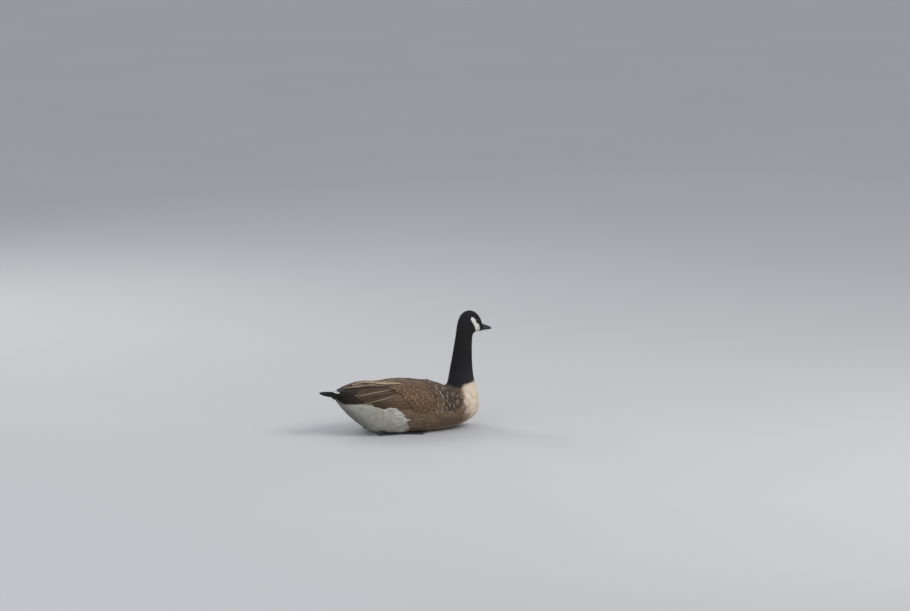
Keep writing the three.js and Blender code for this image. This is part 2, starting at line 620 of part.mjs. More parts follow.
// Legs: a tarsus laid on the floor behind a webbed foot, both tucked under the belly
const LEG = { y: 78, heel: -118, ankle: -36, thick: 5.5 };
const TOE_LENGTHS = [72, 88, 74];
const TOE_SPREAD = [-24, 0, 22];
function rod(from, to, r0, r1, squash = 0.8) {
  const rings = [];
  const axis = to.clone().sub(from).normalize();
  const side = new THREE.Vector3(0, 0, 1).cross(axis).normalize();
  const up = axis.clone().cross(side);
  const SIDES = 6;
  for (const u of [0, 1]) {
    const r = lerp(r0, r1, u);
    const centre = from.clone().lerp(to, u);
    const ring = [];
    for (let j = 0; j < SIDES; j++) {
      const a = (2 * Math.PI * (j + 0.5)) / SIDES;
      const p = centre.clone().addScaledVector(side, Math.cos(a) * r);
      p.addScaledVector(up, Math.sin(a) * r * squash);
      ring.push(p);
    }
    rings.push(ring);
  }
  return solid(loft(rings));
}

function toeTip(i) {
  const a = rad(TOE_SPREAD[i] + 6);
  const at = new THREE.Vector3(LEG.ankle, LEG.y, 3);
  return at.add(new THREE.Vector3(Math.cos(a), Math.sin(a), 0).multiplyScalar(TOE_LENGTHS[i]));
}

function legSolid() {
  const heel = new THREE.Vector3(LEG.heel, LEG.y - 4, 4.4);
  const ankle = new THREE.Vector3(LEG.ankle, LEG.y, 3.6);
  const knee = new THREE.Vector3(LEG.heel + 40, LEG.y - 14, 34);
  const parts = [
    rod(heel, ankle, LEG.thick + 1, LEG.thick),
    rod(heel, knee, LEG.thick + 1.5, LEG.thick + 6, 1),
    ball(heel, new THREE.Vector3(8.5, 7.5, 6), 6),
    ball(ankle, new THREE.Vector3(7.5, 7.5, 5), 6),
  ];
  for (let i = 0; i < TOE_LENGTHS.length; i++) {
    const tip = toeTip(i);
    parts.push(rod(ankle.clone().setZ(2.8), tip.setZ(1.8), 4.6, 2.9, 0.75));
    const claw = tip.clone().sub(ankle).setZ(0).setLength(9).add(tip);
    parts.push(rod(tip.clone(), claw.setZ(0.5), 2.4, 0.8, 1));
  }
  const outline = [ankle.clone(), toeTip(0), toeTip(1), toeTip(2)];
  const shape = new THREE.Shape();
  shape.moveTo(outline[0].x - 3, outline[0].y);
  shape.lineTo(outline[1].x, outline[1].y);
  const bay = (a, b) => a.clone().add(b).multiplyScalar(0.5).lerp(ankle, 0.16);
  const bay1 = bay(outline[1], outline[2]);
  const bay2 = bay(outline[2], outline[3]);
  shape.quadraticCurveTo(bay1.x, bay1.y, outline[2].x, outline[2].y);
  shape.quadraticCurveTo(bay2.x, bay2.y, outline[3].x, outline[3].y);
  const webGeometry = new THREE.ExtrudeGeometry(shape, {
    depth: 1.6, bevelEnabled: false, curveSegments: 4,
  });
  webGeometry.translate(0, 0, -0.2);
  const body = joined([...parts, solid(webGeometry)]);
  return largest(body.subtract(bodyClearance).subtract(belowFloor));
}

// Assembly
const goose = new THREE.Group();
const place = (body, name, material) => goose.add(meshOf(body, name, material));

place(torso, 'torso', BREAST_PLUMAGE);
place(neck, 'neck', BLACK_PLUMAGE);
place(headSolid(), 'head', BLACK_PLUMAGE);
place(billSolid(true), 'bill_upper', BILL_HORN);
place(billSolid(false), 'bill_lower', BILL_HORN);
for (const [side, name] of [[1, 'left'], [-1, 'right']]) {
  const r = EYE_RADIUS;
  place(ball(eyeCentre(side), new THREE.Vector3(r, r, r), 12), `eye_${name}`, EYE_BROWN);
}

place(tailSolid(), 'tail', TAIL_BLACK);

const feathered = joined([wingCore(), ...wingFeathers()]);
const wing = largest(feathered.subtract(bodyClearance).subtract(tailSpace()));
place(wing, 'wing_left', BROWN_PLUMAGE);
place(mirrored(wing), 'wing_right', BROWN_PLUMAGE);

const leg = legSolid();
place(leg, 'leg_left', LEG_SKIN);
place(mirrored(leg), 'leg_right', LEG_SKIN);

// The origin is on the floor under the middle of the bird's box
const box = new THREE.Box3().setFromObject(goose);
goose.position.set(-(box.min.x + box.max.x) / 2, -(box.min.y + box.max.y) / 2, -box.min.z);
goose.updateMatrixWorld(true);

export default goose;
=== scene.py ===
import math

import bpy
import numpy as np
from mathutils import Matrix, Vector, kdtree


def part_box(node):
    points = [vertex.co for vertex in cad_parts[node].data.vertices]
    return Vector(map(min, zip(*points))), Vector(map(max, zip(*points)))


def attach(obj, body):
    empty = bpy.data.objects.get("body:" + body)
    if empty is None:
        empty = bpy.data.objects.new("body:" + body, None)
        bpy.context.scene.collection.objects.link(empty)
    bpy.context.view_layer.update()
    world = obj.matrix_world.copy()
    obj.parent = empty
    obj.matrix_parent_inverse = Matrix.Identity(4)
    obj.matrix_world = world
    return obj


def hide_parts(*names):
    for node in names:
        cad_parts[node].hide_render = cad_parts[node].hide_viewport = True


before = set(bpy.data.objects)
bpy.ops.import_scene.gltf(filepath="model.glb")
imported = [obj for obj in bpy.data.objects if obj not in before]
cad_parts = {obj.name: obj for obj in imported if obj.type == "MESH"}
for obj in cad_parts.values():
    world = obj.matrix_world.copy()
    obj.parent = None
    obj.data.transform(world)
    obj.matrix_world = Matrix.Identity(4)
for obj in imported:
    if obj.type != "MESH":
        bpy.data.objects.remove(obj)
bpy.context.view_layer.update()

# Sizes in millimetres, in the frame of the outline below, unless a name says otherwise.
# +X is forward, +Y the bird's left and +Z up.
MM = 0.001
NECK_AXIS_X = 234.0
HEAD_YAW = 14.5
BILL_LENGTH = 46.0
BILL_PITCH = 7.0
EYE_RADIUS = 6.2
EYE_PLACE = (26.8, math.radians(80), 3.6)  # place along the outline, angle round it and depth
EYE_ROOM = 5.5  # from an eye's axis to the first feathers
FLOOR_CLEAR = 0.3
TUCK = 8.0  # how far the body draws in under the wing's lower edge
SIDES = {1: "left", -1: "right"}

# The body's outline: dorsal x, z, ventral x, z, half width, level of the widest place, fullness, turn
OUTLINE = np.array([
    (-266, 147.5, -262, 138, 16, 0.45, 2, 0), (-240, 153, -236, 103, 42, 0.42, 2.1, 0),
    (-213, 157.5, -213, 77, 63, 0.42, 2.2, 0), (-188, 160.5, -190, 55, 79, 0.44, 2.25, 0),
    (-158, 165, -163, 32, 93, 0.47, 2.3, 0), (-118, 162.5, -124, 8, 106, 0.5, 2.35, 0),
    (-70, 164.5, -75, -3, 114, 0.52, 2.4, 0), (-10, 167.5, -10, -5, 118, 0.53, 2.4, 0),
    (50, 165, 60, -5, 117, 0.54, 2.35, 0), (92, 160, 122, -2, 113, 0.54, 2.3, 0),
    (122, 154.5, 180, 5, 106, 0.53, 2.25, 0), (142, 150, 230, 20, 97, 0.52, 2.2, 0),
    (155, 147, 262, 38, 88, 0.52, 2.15, 0), (162.5, 145.5, 278, 61, 78, 0.52, 2.1, 0),
    (167.5, 146, 282.5, 92, 67, 0.52, 2.05, 0), (171, 149, 277, 128, 56, 0.52, 2, 0),
    (174, 155, 269.5, 161, 47, 0.52, 2, 0), (178, 177, 265.5, 184, 40, 0.52, 2, 0),
    (183, 207, 263.5, 211, 35, 0.52, 2, 0), (190, 244, 262, 246, 31, 0.52, 2, 0),
    (197, 283, 262, 283, 28.5, 0.5, 2, 2), (203, 318, 264, 314, 27.5, 0.5, 2, 7),
    (207, 343, 267.5, 326, 28, 0.48, 2, 11), (211.5, 364, 274, 329, 29, 0.47, 2.05, 13.5),
    (218.5, 383, 281, 330.5, 30, 0.48, 2.1, 14.5), (230, 399, 286.5, 331, 30, 0.5, 2.15, 14.5),
    (246, 407.3, 291, 331, 29, 0.52, 2.15, 14.5), (262.5, 408.5, 295, 331, 27, 0.54, 2.15, 14.5),
    (277.5, 403.5, 299, 331, 24.5, 0.56, 2.1, 14.5), (290.5, 393, 302.5, 331, 21, 0.6, 2.1, 14.5),
    (300.5, 378, 305, 331, 17, 0.62, 2.1, 14.5), (306.5, 360.5, 307, 331.5, 13, 0.62, 2.2, 14.5),
], float)
LAST = len(OUTLINE) - 1
NECK_ROOT, HEAD_ROOT = 16, 22


def smooth(table, t):
    """Catmull-Rom through the rows of a table, at places t."""
    last = len(table) - 1
    t = np.clip(t, 0, last)
    i = np.minimum(np.floor(t).astype(int), last - 1)
    f = (t - i)[..., None]
    wide = np.vstack([2 * table[0] - table[1], table, 2 * table[-1] - table[-2]])
    p0, p1, p2, p3 = (wide[i + k] for k in range(4))
    cubic = 3 * (p1 - p2) + p3 - p0
    return p1 + 0.5 * f * (p2 - p0 + f * (2 * p0 - 5 * p1 + 4 * p2 - p3 + f * cubic))


def step(low, high, x):
    """Smooth step from 0 at low to 1 at high."""
    f = np.clip((x - low) / (high - low), 0, 1)
    return f * f * (3 - 2 * f)


def turned(p, degrees):
    """Points turned about the neck's upright axis."""
    c, s = np.cos(np.radians(degrees)), np.sin(np.radians(degrees))
    dx = p[..., 0] - NECK_AXIS_X
    return np.stack([NECK_AXIS_X + dx * c - p[..., 1] * s, dx * s + p[..., 1] * c, p[..., 2]], -1)


def skin_point(t, around, grow=0.0, straight=False):
    """A point of the plumage's outer level, moved out by grow. straight leaves out the head's turn."""
    t, around, grow = np.broadcast_arrays(np.asarray(t, float), around, grow)
    dx, dz, vx, vz, half, low, full, turn = np.moveaxis(smooth(OUTLINE, t), -1, 0)
    tall = np.hypot(vx - dx, vz - dz)
    ux, uz = (vx - dx) / tall, (vz - dz) / tall
    c, w = np.cos(around), np.sin(around)
    power = 2 / full
    side = np.sign(w) * np.abs(w) ** power * (half + grow)
    reach = np.where(c > 0, low * tall, (1 - low) * tall) + grow
    along = low * tall - np.sign(c) * np.abs(c) ** power * reach
    p = np.stack([dx + ux * along, side, np.maximum(dz + uz * along, FLOOR_CLEAR)], -1)
    return p if straight else turned(p, turn)


# Tables of the surface, for laying feathers on it
T_GRID = np.linspace(0, LAST, 311)
A_GRID = np.linspace(0, 2 * math.pi, 241)
A_STEP = A_GRID[1]
GRID = skin_point(T_GRID[:, None], A_GRID[None, :])
_steps = np.linalg.norm(np.diff(GRID, axis=0), axis=2)
ALONG = np.vstack([np.zeros((1, len(A_GRID))), np.cumsum(_steps, axis=0)])
ACROSS = np.maximum(np.linalg.norm(np.gradient(GRID, A_STEP, axis=1), axis=2), 6.0)


def bilinear(table, x, y):
    """Value between a table's entries at row x and column y, which are held at its edges."""
    x, y = np.clip(x, 0, len(table) - 1), np.clip(y, 0, table.shape[1] - 1)
    i = np.minimum(x.astype(int), len(table) - 2)
    j = np.minimum(y.astype(int), table.shape[1] - 2)
    f, g = x - i, y - j
    near = table[i, j] * (1 - g) + table[i, j + 1] * g
    far = table[i + 1, j] * (1 - g) + table[i + 1, j + 1] * g
    return near * (1 - f) + far * f


def on_skin(t0, a0, along, across, lift):
    """Points that lie along towards the tail and across from each root (t0, a0)."""
    column = np.rint(a0 / A_STEP).astype(int) % (len(A_GRID) - 1)
    t, past = np.empty(along.shape), np.empty(along.shape)
    for c in np.unique(column):
        mine = column == c
        start = np.interp(t0[mine], T_GRID, ALONG[:, c])[:, None] - along[mine]
        t[mine] = np.interp(start, ALONG[:, c], T_GRID)
        past[mine] = np.maximum(-start, 0)
    turn = np.mod(a0[:, None] + 0 * t, 2 * math.pi) / A_STEP
    a = a0[:, None] + across / bilinear(ACROSS, t / T_GRID[1], turn)
    p = skin_point(t, a, lift)
    p[..., 0] -= past
    return p, t, a


# Colours
def lin(*rgb):
    """Linear colour from 8-bit values of a display."""
    c = np.array(rgb, float) / 255
    return np.where(c <= 0.04045, c / 12.92, ((c + 0.055) / 1.055) ** 2.4)


# The vent's white is painted grey here: painted shade on the bird's underside
FACE_WHITE, VENT_WHITE_IN_SHADE = lin(240, 238, 232), lin(176, 174, 162)
BLACK, BLACK_EDGE = lin(27, 24, 29), lin(38, 33, 39)
CREAM, CREAM_EDGE = lin(218, 203, 182), lin(232, 220, 203)
FLANK, FLANK_EDGE = lin(110, 90, 72), lin(134, 113, 93)
MANTLE, MANTLE_EDGE = lin(84, 67, 54), lin(150, 132, 113)
SHOULDER, SHOULDER_EDGE = lin(60, 48, 41), lin(172, 154, 136)
BUFF, RUMP = lin(170, 150, 127), lin(36, 31, 31)


def wobble(p, size, seed=0.0):
    """Smooth uneven number about zero that changes over about size."""
    x, y, z = np.moveaxis(p, -1, 0) * (2 * math.pi / size)
    return (np.sin(x + 1.7 * y + seed) + np.sin(1.3 * z - 0.8 * x + 2.1 * seed)
            + np.sin(1.9 * y + 0.7 * z + 0.5 * x - seed)) / 3


def mixed(a, b, f):
    return a + (b - a) * np.asarray(f)[..., None]


# Level of the black neck's lower end at each x, and the ends of the white patch's middle line as
# (forward of the neck's axis, level)
SOCK = ((165, 148), (176, 147), (189, 142), (200, 143), (218, 151), (240, 158), (262, 161), (300, 164))
CHEEK = ((17.0, 381.5), (51.0, 331.0))


def from_top(a):
    """Angle from the body's top, the same on both sides."""
    return np.abs(np.mod(a + math.pi, 2 * math.pi) - math.pi)


def cheek(raw):
    """How far a point of the head lies inside the white patch. raw leaves out the head's turn."""
    top, foot = np.array(CHEEK)
    axis = foot - top
    long = np.hypot(*axis)
    axis = axis / long
    f, z = raw[..., 0] - NECK_AXIS_X - top[0], raw[..., 2] - top[1]
    s = f * axis[0] + z * axis[1]
    u = np.clip(s / long, 0, 1)
    d = np.abs(f * axis[1] - z * axis[0] + 1.2 * np.sin(u * math.pi))
    half = 7.0 + 3.2 * np.sin(0.8 * math.pi * u)
    return half - np.hypot(d, np.maximum(0, -s))


def marks(t, a, ragged=True):
    """Base colour, edge colour, strength of the edge and share of white vent at places of the skin."""
    raw = skin_point(t, a, 0, True)
    p = skin_point(t, a)
    x, z = p[..., 0], p[..., 2]
    turn = from_top(a)
    rough = 1.0 if ragged else 0.4
    blot = wobble(p, 46) * rough
    fine = wobble(p, 13, 2.0) * rough

    # Brown back and flanks, pale breast, dark shoulder
    brown = mixed(FLANK, MANTLE, step(1.35, 0.95, turn))
    brown_edge = mixed(FLANK_EDGE, MANTLE_EDGE, step(1.35, 0.95, turn))
    front = step(168, 222, x + 14 * blot + 0.25 * (z - 110))
    front = np.maximum(front, step(2.2, 2.8, turn) * step(10, 150, x) * 0.75)
    front = front * step(1.0, 1.5, turn + 0.004 * (x - 190))
    base = mixed(brown, BUFF, np.clip(front * 1.7, 0, 1))
    base = mixed(base, CREAM, np.clip(front * 1.6 - 0.6, 0, 1))
    edge = mixed(brown_edge, CREAM_EDGE, front)
    strength = 1 - 0.45 * front
    shoulder = step(84, 132, x) * step(196, 178, x + 6 * blot) * step(1.75, 1.5, turn) * (1 - front)
    base = mixed(base, SHOULDER, 0.85 * shoulder)
    edge = mixed(edge, SHOULDER_EDGE, 0.85 * shoulder)

    # White vent, its white painted as in shade and darkened further by painted shade under the tail and
    # on the belly, and the black rump
    limit = -34 - 1.1 * np.maximum(z - 70, 0) + 0.25 * np.maximum(70 - z, 0)
    vent = step(-4, 5, limit - x + 5 * blot + 3 * fine) * step(0.75, 1.0, turn)
    base, edge = mixed(base, VENT_WHITE_IN_SHADE, vent), mixed(edge, VENT_WHITE_IN_SHADE * 1.03, vent)
    # Painted shade: darker under the tail and on the underside of the belly
    under_tail_shade = 0.6 * step(-212, -242, x) * step(92, 118, z)
    belly_shade = 0.4 * step(2.0, 2.6, turn) * step(-110, -190, x)
    base = base * (1 - np.maximum(under_tail_shade, belly_shade) * vent)[..., None]
    rump = step(1.15, 0.9, turn - 0.5 * step(-236, -246, x)) * step(-120, -150, x)
    base, edge = mixed(base, RUMP, rump), mixed(edge, RUMP, rump)

    # Black neck and head with the white patch
    level = np.interp(x, *zip(*SOCK))
    black = step(-1.6, 1.6, z - level + 2 * fine + blot)
    black = black * step(NECK_ROOT - 6, NECK_ROOT - 4, t)
    base, edge = mixed(base, BLACK, black), mixed(edge, BLACK_EDGE, black)
    patch = step(-0.7, 0.7, cheek(raw) + 0.9 * wobble(raw, 7))
    patch = patch * step(HEAD_ROOT - 1.5, HEAD_ROOT - 0.5, t)
    patch = patch * step(EYE_ROOM + 4.4, EYE_ROOM + 5.8, from_eyes(p))
    base, edge = mixed(base, FACE_WHITE, patch), mixed(edge, FACE_WHITE, patch)
    strength = strength * (1 - vent) * (1 - 0.7 * black) * (1 - patch) * (1 - rump)
    return base, edge, strength, vent


# Spacing of the feathers' roots along the body, and how deep the coat is there
SPACING = ((0, 6.4), (2, 7), (6, 8), (9, 7.8), (11, 6.8), (13, 5.4), (15, 4.0), (16, 3.2),
           (17, 2.5), (18, 2.05), (20, 1.75), (22, 1.6), (24, 1.4), (27, 1.2), (29, 1.05), (31, 0.9))


def spacing(t):
    return np.interp(t, *zip(*SPACING))


def coat_depth(t):
    return 0.35 * spacing(t) + 0.5


# Meshes
def mesh_piece(name, points, quads, material, layers, uv, replaces=(), crease=50):
    """A piece from arrays. layers are vectors or colours per point, and uv the map for baking."""
    mesh = bpy.data.meshes.new(name)
    mesh.from_pydata(((points.reshape(-1, 3) + SHIFT) * MM).tolist(), [], quads.tolist())
    mesh.update()
    for key, values in layers.items():
        colour = values.shape[-1] == 4
        layer = mesh.attributes.new(key, "FLOAT_COLOR" if colour else "FLOAT_VECTOR", "POINT")
        layer.data.foreach_set("color" if colour else "vector", values.ravel().astype("f"))
    index = np.empty(len(mesh.loops), int)
    mesh.loops.foreach_get("vertex_index", index)
    corners = uv.reshape(-1, 2)[index]
    mesh.uv_layers.new(name="OFBake").data.foreach_set("uv", corners.ravel().astype("f"))
    mesh.polygons.foreach_set("use_smooth", np.full(len(mesh.polygons), True))
    if crease:
        mesh.set_sharp_from_angle(angle=math.radians(crease))
    mesh.materials.append(material)
    piece = bpy.data.objects.new(name, mesh)
    bpy.context.scene.collection.objects.link(piece)
    if replaces:
        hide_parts(*replaces)
    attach(piece, "root")


def rgba(c):
    return np.concatenate([c, np.ones(c.shape[:-1] + (1,))], -1)


def ring_quads(rows, count, flip=False):
    """Quads between rows of count points each, with both ends closed."""
    quads = []
    for r in range(rows - 1):
        for k in range(count):
            a, b = r * count + k, r * count + (k + 1) % count
            quads.append((a, b, b + count, a + count))
    end = (rows - 1) * count
    for k in range(count // 2 - 1):
        quads.append((k, count - 1 - k, count - 2 - k, k + 1))
        quads.append((end + k, end + k + 1, end + count - 2 - k, end + count - 1 - k))
    return np.array(quads)[:, ::-1] if flip else np.array(quads)


def grid_uv(rows, count):
    """A map for baking that spreads rows of count points over a square."""
    sides = (np.linspace(0.01, 0.99, n) for n in (rows, count))
    return np.stack(np.meshgrid(*sides, indexing="ij"), -1)


class Vane:
    """A feather's shape: for each point its place along (0 to 1), across as a share of the half
    width, the share of that width that it has there, and its height over the vane's plane."""

    def __init__(self, rows, ring):
        self.u, self.w = (np.repeat(column, len(ring)) for column in np.array(rows, float).T)
        self.v, self.h = (np.tile(column, len(rows)) for column in np.array(ring, float).T)
        self.quads = ring_quads(len(rows), len(ring))

    def with_strands(self, strands, seed):
        """Loose barbs that stand out past the vane's end, each a thin three-row blade."""
        random = np.random.default_rng(seed)
        ring = np.array([(-1, 0), (0, 1), (1, 0), (0, -1)], float)
        for _ in range(strands):
            side = random.uniform(-0.85, 0.85)
            start = 0.72 + 0.12 * random.random() - 0.18 * side * side
            reach = 0.16 + 0.14 * random.random()
            spread = side * 0.32 + random.uniform(-0.12, 0.12)
            base = len(self.u)
            for f, thin in ((0, 1.0), (0.55, 0.75), (1, 0.12)):
                self.u = np.append(self.u, np.full(4, start + reach * f))
                self.w = np.append(self.w, np.ones(4))
                self.v = np.append(self.v, side * 0.8 + spread * f + ring[:, 0] * 0.07 * thin)
                self.h = np.append(self.h, 0.6 + ring[:, 1] * 0.35 * thin)
            self.quads = np.vstack([self.quads, ring_quads(3, 4) + base])
        return self


LENS4 = [(-1, 0), (0, 1), (1, 0), (0, -0.6)]
LENS6 = [(-1, 0), (-0.5, 0.75), (0, 1), (0.5, 0.75), (1, 0), (0, -0.5)]
LENS10 = [(-1, 0), (-0.7, 0.5), (-0.35, 0.85), (0, 1.0), (0.35, 0.85), (0.7, 0.5), (1, 0),
          (0.5, -0.3), (0, -0.5), (-0.5, -0.3)]
HAIRY = [Vane([(0, 0.55), (0.55, 1.0), (1, 0.12)], LENS4)]
SLIM = [Vane([(0, 0.5), (0.4, 1.0), (0.75, 0.85), (1, 0.15)], LENS4)]
SOFT = [Vane([(0, 0.4), (0.35, 0.95), (0.62, 1.0), (0.84, 0.74), (0.95, 0.42), (1, 0.12)], LENS4)
        .with_strands(5, k) for k in range(4)]
BROAD = [Vane([(0, 0.35), (0.3, 0.85), (0.55, 1.0), (0.74, 0.95), (0.87, 0.74), (0.95, 0.45),
               (1, 0.12)], LENS6)]
BLUNT = [Vane([(0, 0.35), (0.3, 0.85), (0.6, 1.0), (0.82, 0.98), (0.93, 0.84), (0.98, 0.6),
               (1, 0.3)], LENS6)]


class Coat:
    """Gathers feathers into one mesh. Long feathers share its map in a square of cells by cells."""

    def __init__(self, cells=1):
        self.points, self.quads, self.layers, self.uv = [], [], {}, []
        self.count = self.feathers = 0
        self.cells = cells

    def add(self, points, vane, flip, layers, uv):
        """points is (feathers, points, 3); layers hold arrays of the same first two sizes."""
        n, m = points.shape[:2]
        quads = vane.quads[:, ::-1] if flip else vane.quads
        first = self.count + np.arange(n) * m
        self.quads.append((quads[None] + first[:, None, None]).reshape(-1, 4))
        self.points.append(points.reshape(-1, 3))
        for key, value in layers.items():
            self.layers.setdefault(key, []).append(value.reshape(-1, value.shape[-1]))
        self.uv.append(uv.reshape(-1, 2))
        self.count += n * m
        self.feathers += n

    def cell_uv(self, vane, n):
        """Own cells of the map for the next n long feathers."""
        cell = self.feathers + np.arange(n)
        corner = np.stack([cell % self.cells, cell // self.cells], -1)[:, None] / self.cells
        local = np.stack([0.5 + 0.44 * vane.v * np.maximum(vane.w, 0.3), 0.04 + 0.92 * vane.u], -1)
        return corner + local[None] / self.cells

    def piece(self, name, material, slot, replaces=()):
        points = np.vstack(self.points)
        points[:, 2] = np.maximum(points[:, 2], FLOOR_CLEAR)
        layers = {key: np.vstack(values) for key, values in self.layers.items()}
        quads, uv = np.vstack(self.quads), np.vstack(self.uv)
        mesh_piece(name, points, quads, material, layers, uv, replaces)


def feather_layers(vane, length, half, tone, edge, rim, number):
    """What the feather material reads: colours, place on the vane, millimetres and the pale rim.
    The place's last part is a random number of each feather's own."""
    m = len(vane.u)
    stacked = lambda *parts: np.stack(np.broadcast_arrays(*parts), -1)
    return {
        "tone": np.repeat(rgba(tone)[:, None], m, 1),
        "edge": np.repeat(rgba(edge)[:, None], m, 1),
        "place": stacked(vane.v, np.clip(vane.u, 0, 1), number[:, None]),
        "size": stacked(vane.v * vane.w * half[:, None], vane.u * length[:, None], vane.h),
        "rim": np.repeat(rim[:, None], m, 1),
    }


PATCH = 0.003  # side of a small feather's patch of the map


def patch_uv(home, vane):
    """A small patch for each feather at its root's place on the unwrapped surface."""
    spot = np.clip(home, 0.004, 0.996)[:, None]
    return spot + np.stack([vane.v * 0.5 * vane.w, vane.u - 0.5], -1)[None] * PATCH


TRIES = 7  # roots drawn for each one that has room


def scatter(t_range, keep, scale, seed):
    """Roots spread evenly over the skin, as far apart as the spacing says."""
    random = np.random.default_rng(seed)
    rows = (T_GRID[:-1] >= t_range[0]) & (T_GRID[:-1] < t_range[1])
    area = (np.diff(ALONG, axis=0)[:, :-1] * ACROSS[:-1, :-1] * A_STEP)[rows]
    t_low = T_GRID[:-1][rows]
    weight = (area / (spacing(t_low)[:, None] * scale) ** 2).ravel()
    count = int(weight.sum() * TRIES)
    cell = random.choice(len(weight), count, p=weight / weight.sum())
    t = t_low[cell // area.shape[1]] + random.random(count) * T_GRID[1]
    a = (cell % area.shape[1] + random.random(count)) * A_STEP
    kept = keep(t, a)
    t, a = t[kept], a[kept]
    p = skin_point(t, a)
    tree = kdtree.KDTree(len(p))
    for i, q in enumerate(p):
        tree.insert(q, i)
    tree.balance()
    alive = np.ones(len(p), bool)
    chosen = []
    reach = spacing(t) * scale
    for i in range(len(p)):
        if alive[i]:
            chosen.append(i)
            for _, j, _ in tree.find_range(p[i], reach[i]):
                alive[j] = False
    return t[chosen], a[chosen]


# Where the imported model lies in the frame
def eye_centre(side):
    t, a, sink = EYE_PLACE
    on, inside = (skin_point(t, k * side * a) for k in (1, -1))
    return on + (inside - on) * sink / np.linalg.norm(inside - on)


low, high = (np.array(corner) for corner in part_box("eye_left"))
SHIFT = (low + high) / 2 / MM - eye_centre(1)
SHIFT[1:] = np.where(np.abs(SHIFT[1:]) < 0.2, 0, SHIFT[1:])


# Materials
class Nodes:
    """Short ways to add shader nodes to a material."""

    def __init__(self, name):
        self.material = bpy.data.materials.new(name)
        self.material.use_nodes = True
        self.tree = self.material.node_tree
        self.shader = self.tree.nodes["Principled BSDF"]

    def add(self, kind, **values):
        node = self.tree.nodes.new(kind)
        for key, value in values.items():
            setattr(node, key, value)
        return node

    def put(self, value, socket):
        if hasattr(value, "is_output"):
            self.tree.links.new(value, socket)
        else:
            socket.default_value = value

    def math(self, kind, a, b=0.0, c=0.0, clamp=False):
        node = self.add("ShaderNodeMath", operation=kind, use_clamp=clamp)
        for value, socket in zip((a, b, c), node.inputs):
            self.put(value, socket)
        return node.outputs[0]

    def times(self, a, b, clamp=False):
        return self.math("MULTIPLY", a, b, clamp=clamp)

    def less(self, a, b):
        return self.math("SUBTRACT", a, b)

    def scaled(self, a, factor, plus):
        return self.math("MULTIPLY_ADD", a, factor, plus)

    def ramp(self, value, low, high, out_low=0.0, out_high=1.0):
        node = self.add("ShaderNodeMapRange", interpolation_type="SMOOTHSTEP")
        for v, socket in zip((value, low, high, out_low, out_high), node.inputs):
            self.put(v, socket)
        return node.outputs[0]

    def mix(self, f, a, b, kind="MIX"):
        node = self.add("ShaderNodeMix", data_type="RGBA", blend_type=kind)
        for v, k in ((f, 0), (a, 6), (b, 7)):
            self.put(v, node.inputs[k])
        return node.outputs[2]

    def attribute(self, name, output):
        return self.add("ShaderNodeAttribute", attribute_name=name).outputs[output]

    def parts(self, name):
        """The three numbers of a vector attribute."""
        vector = self.attribute(name, "Vector")
        node = self.add("ShaderNodeSeparateXYZ")
        self.put(vector, node.inputs[0])
        return node.outputs[:3]

    def place(self):
        return self.add("ShaderNodeTexCoord").outputs["Object"]

    def noise(self, scale, detail, rough=0.55, vector=None):
        node = self.add("ShaderNodeTexNoise")
        node.inputs["Scale"].default_value = scale
        node.inputs["Detail"].default_value = detail
        node.inputs["Roughness"].default_value = rough
        self.put(vector or self.place(), node.inputs["Vector"])
        return node.outputs["Fac"]

    def bump(self, height, depth):
        """Relief of the given depth in millimetres."""
        node = self.add("ShaderNodeBump")
        node.inputs["Distance"].default_value = depth * MM
        self.put(height, node.inputs["Height"])
        return node.outputs[0]

    def set(self, **values):
        for key, value in values.items():
            self.put(value, self.shader.inputs[key.replace("_", " ")])
        return self.material


DARK = (0.0, 0.0, 0.0, 1.0)


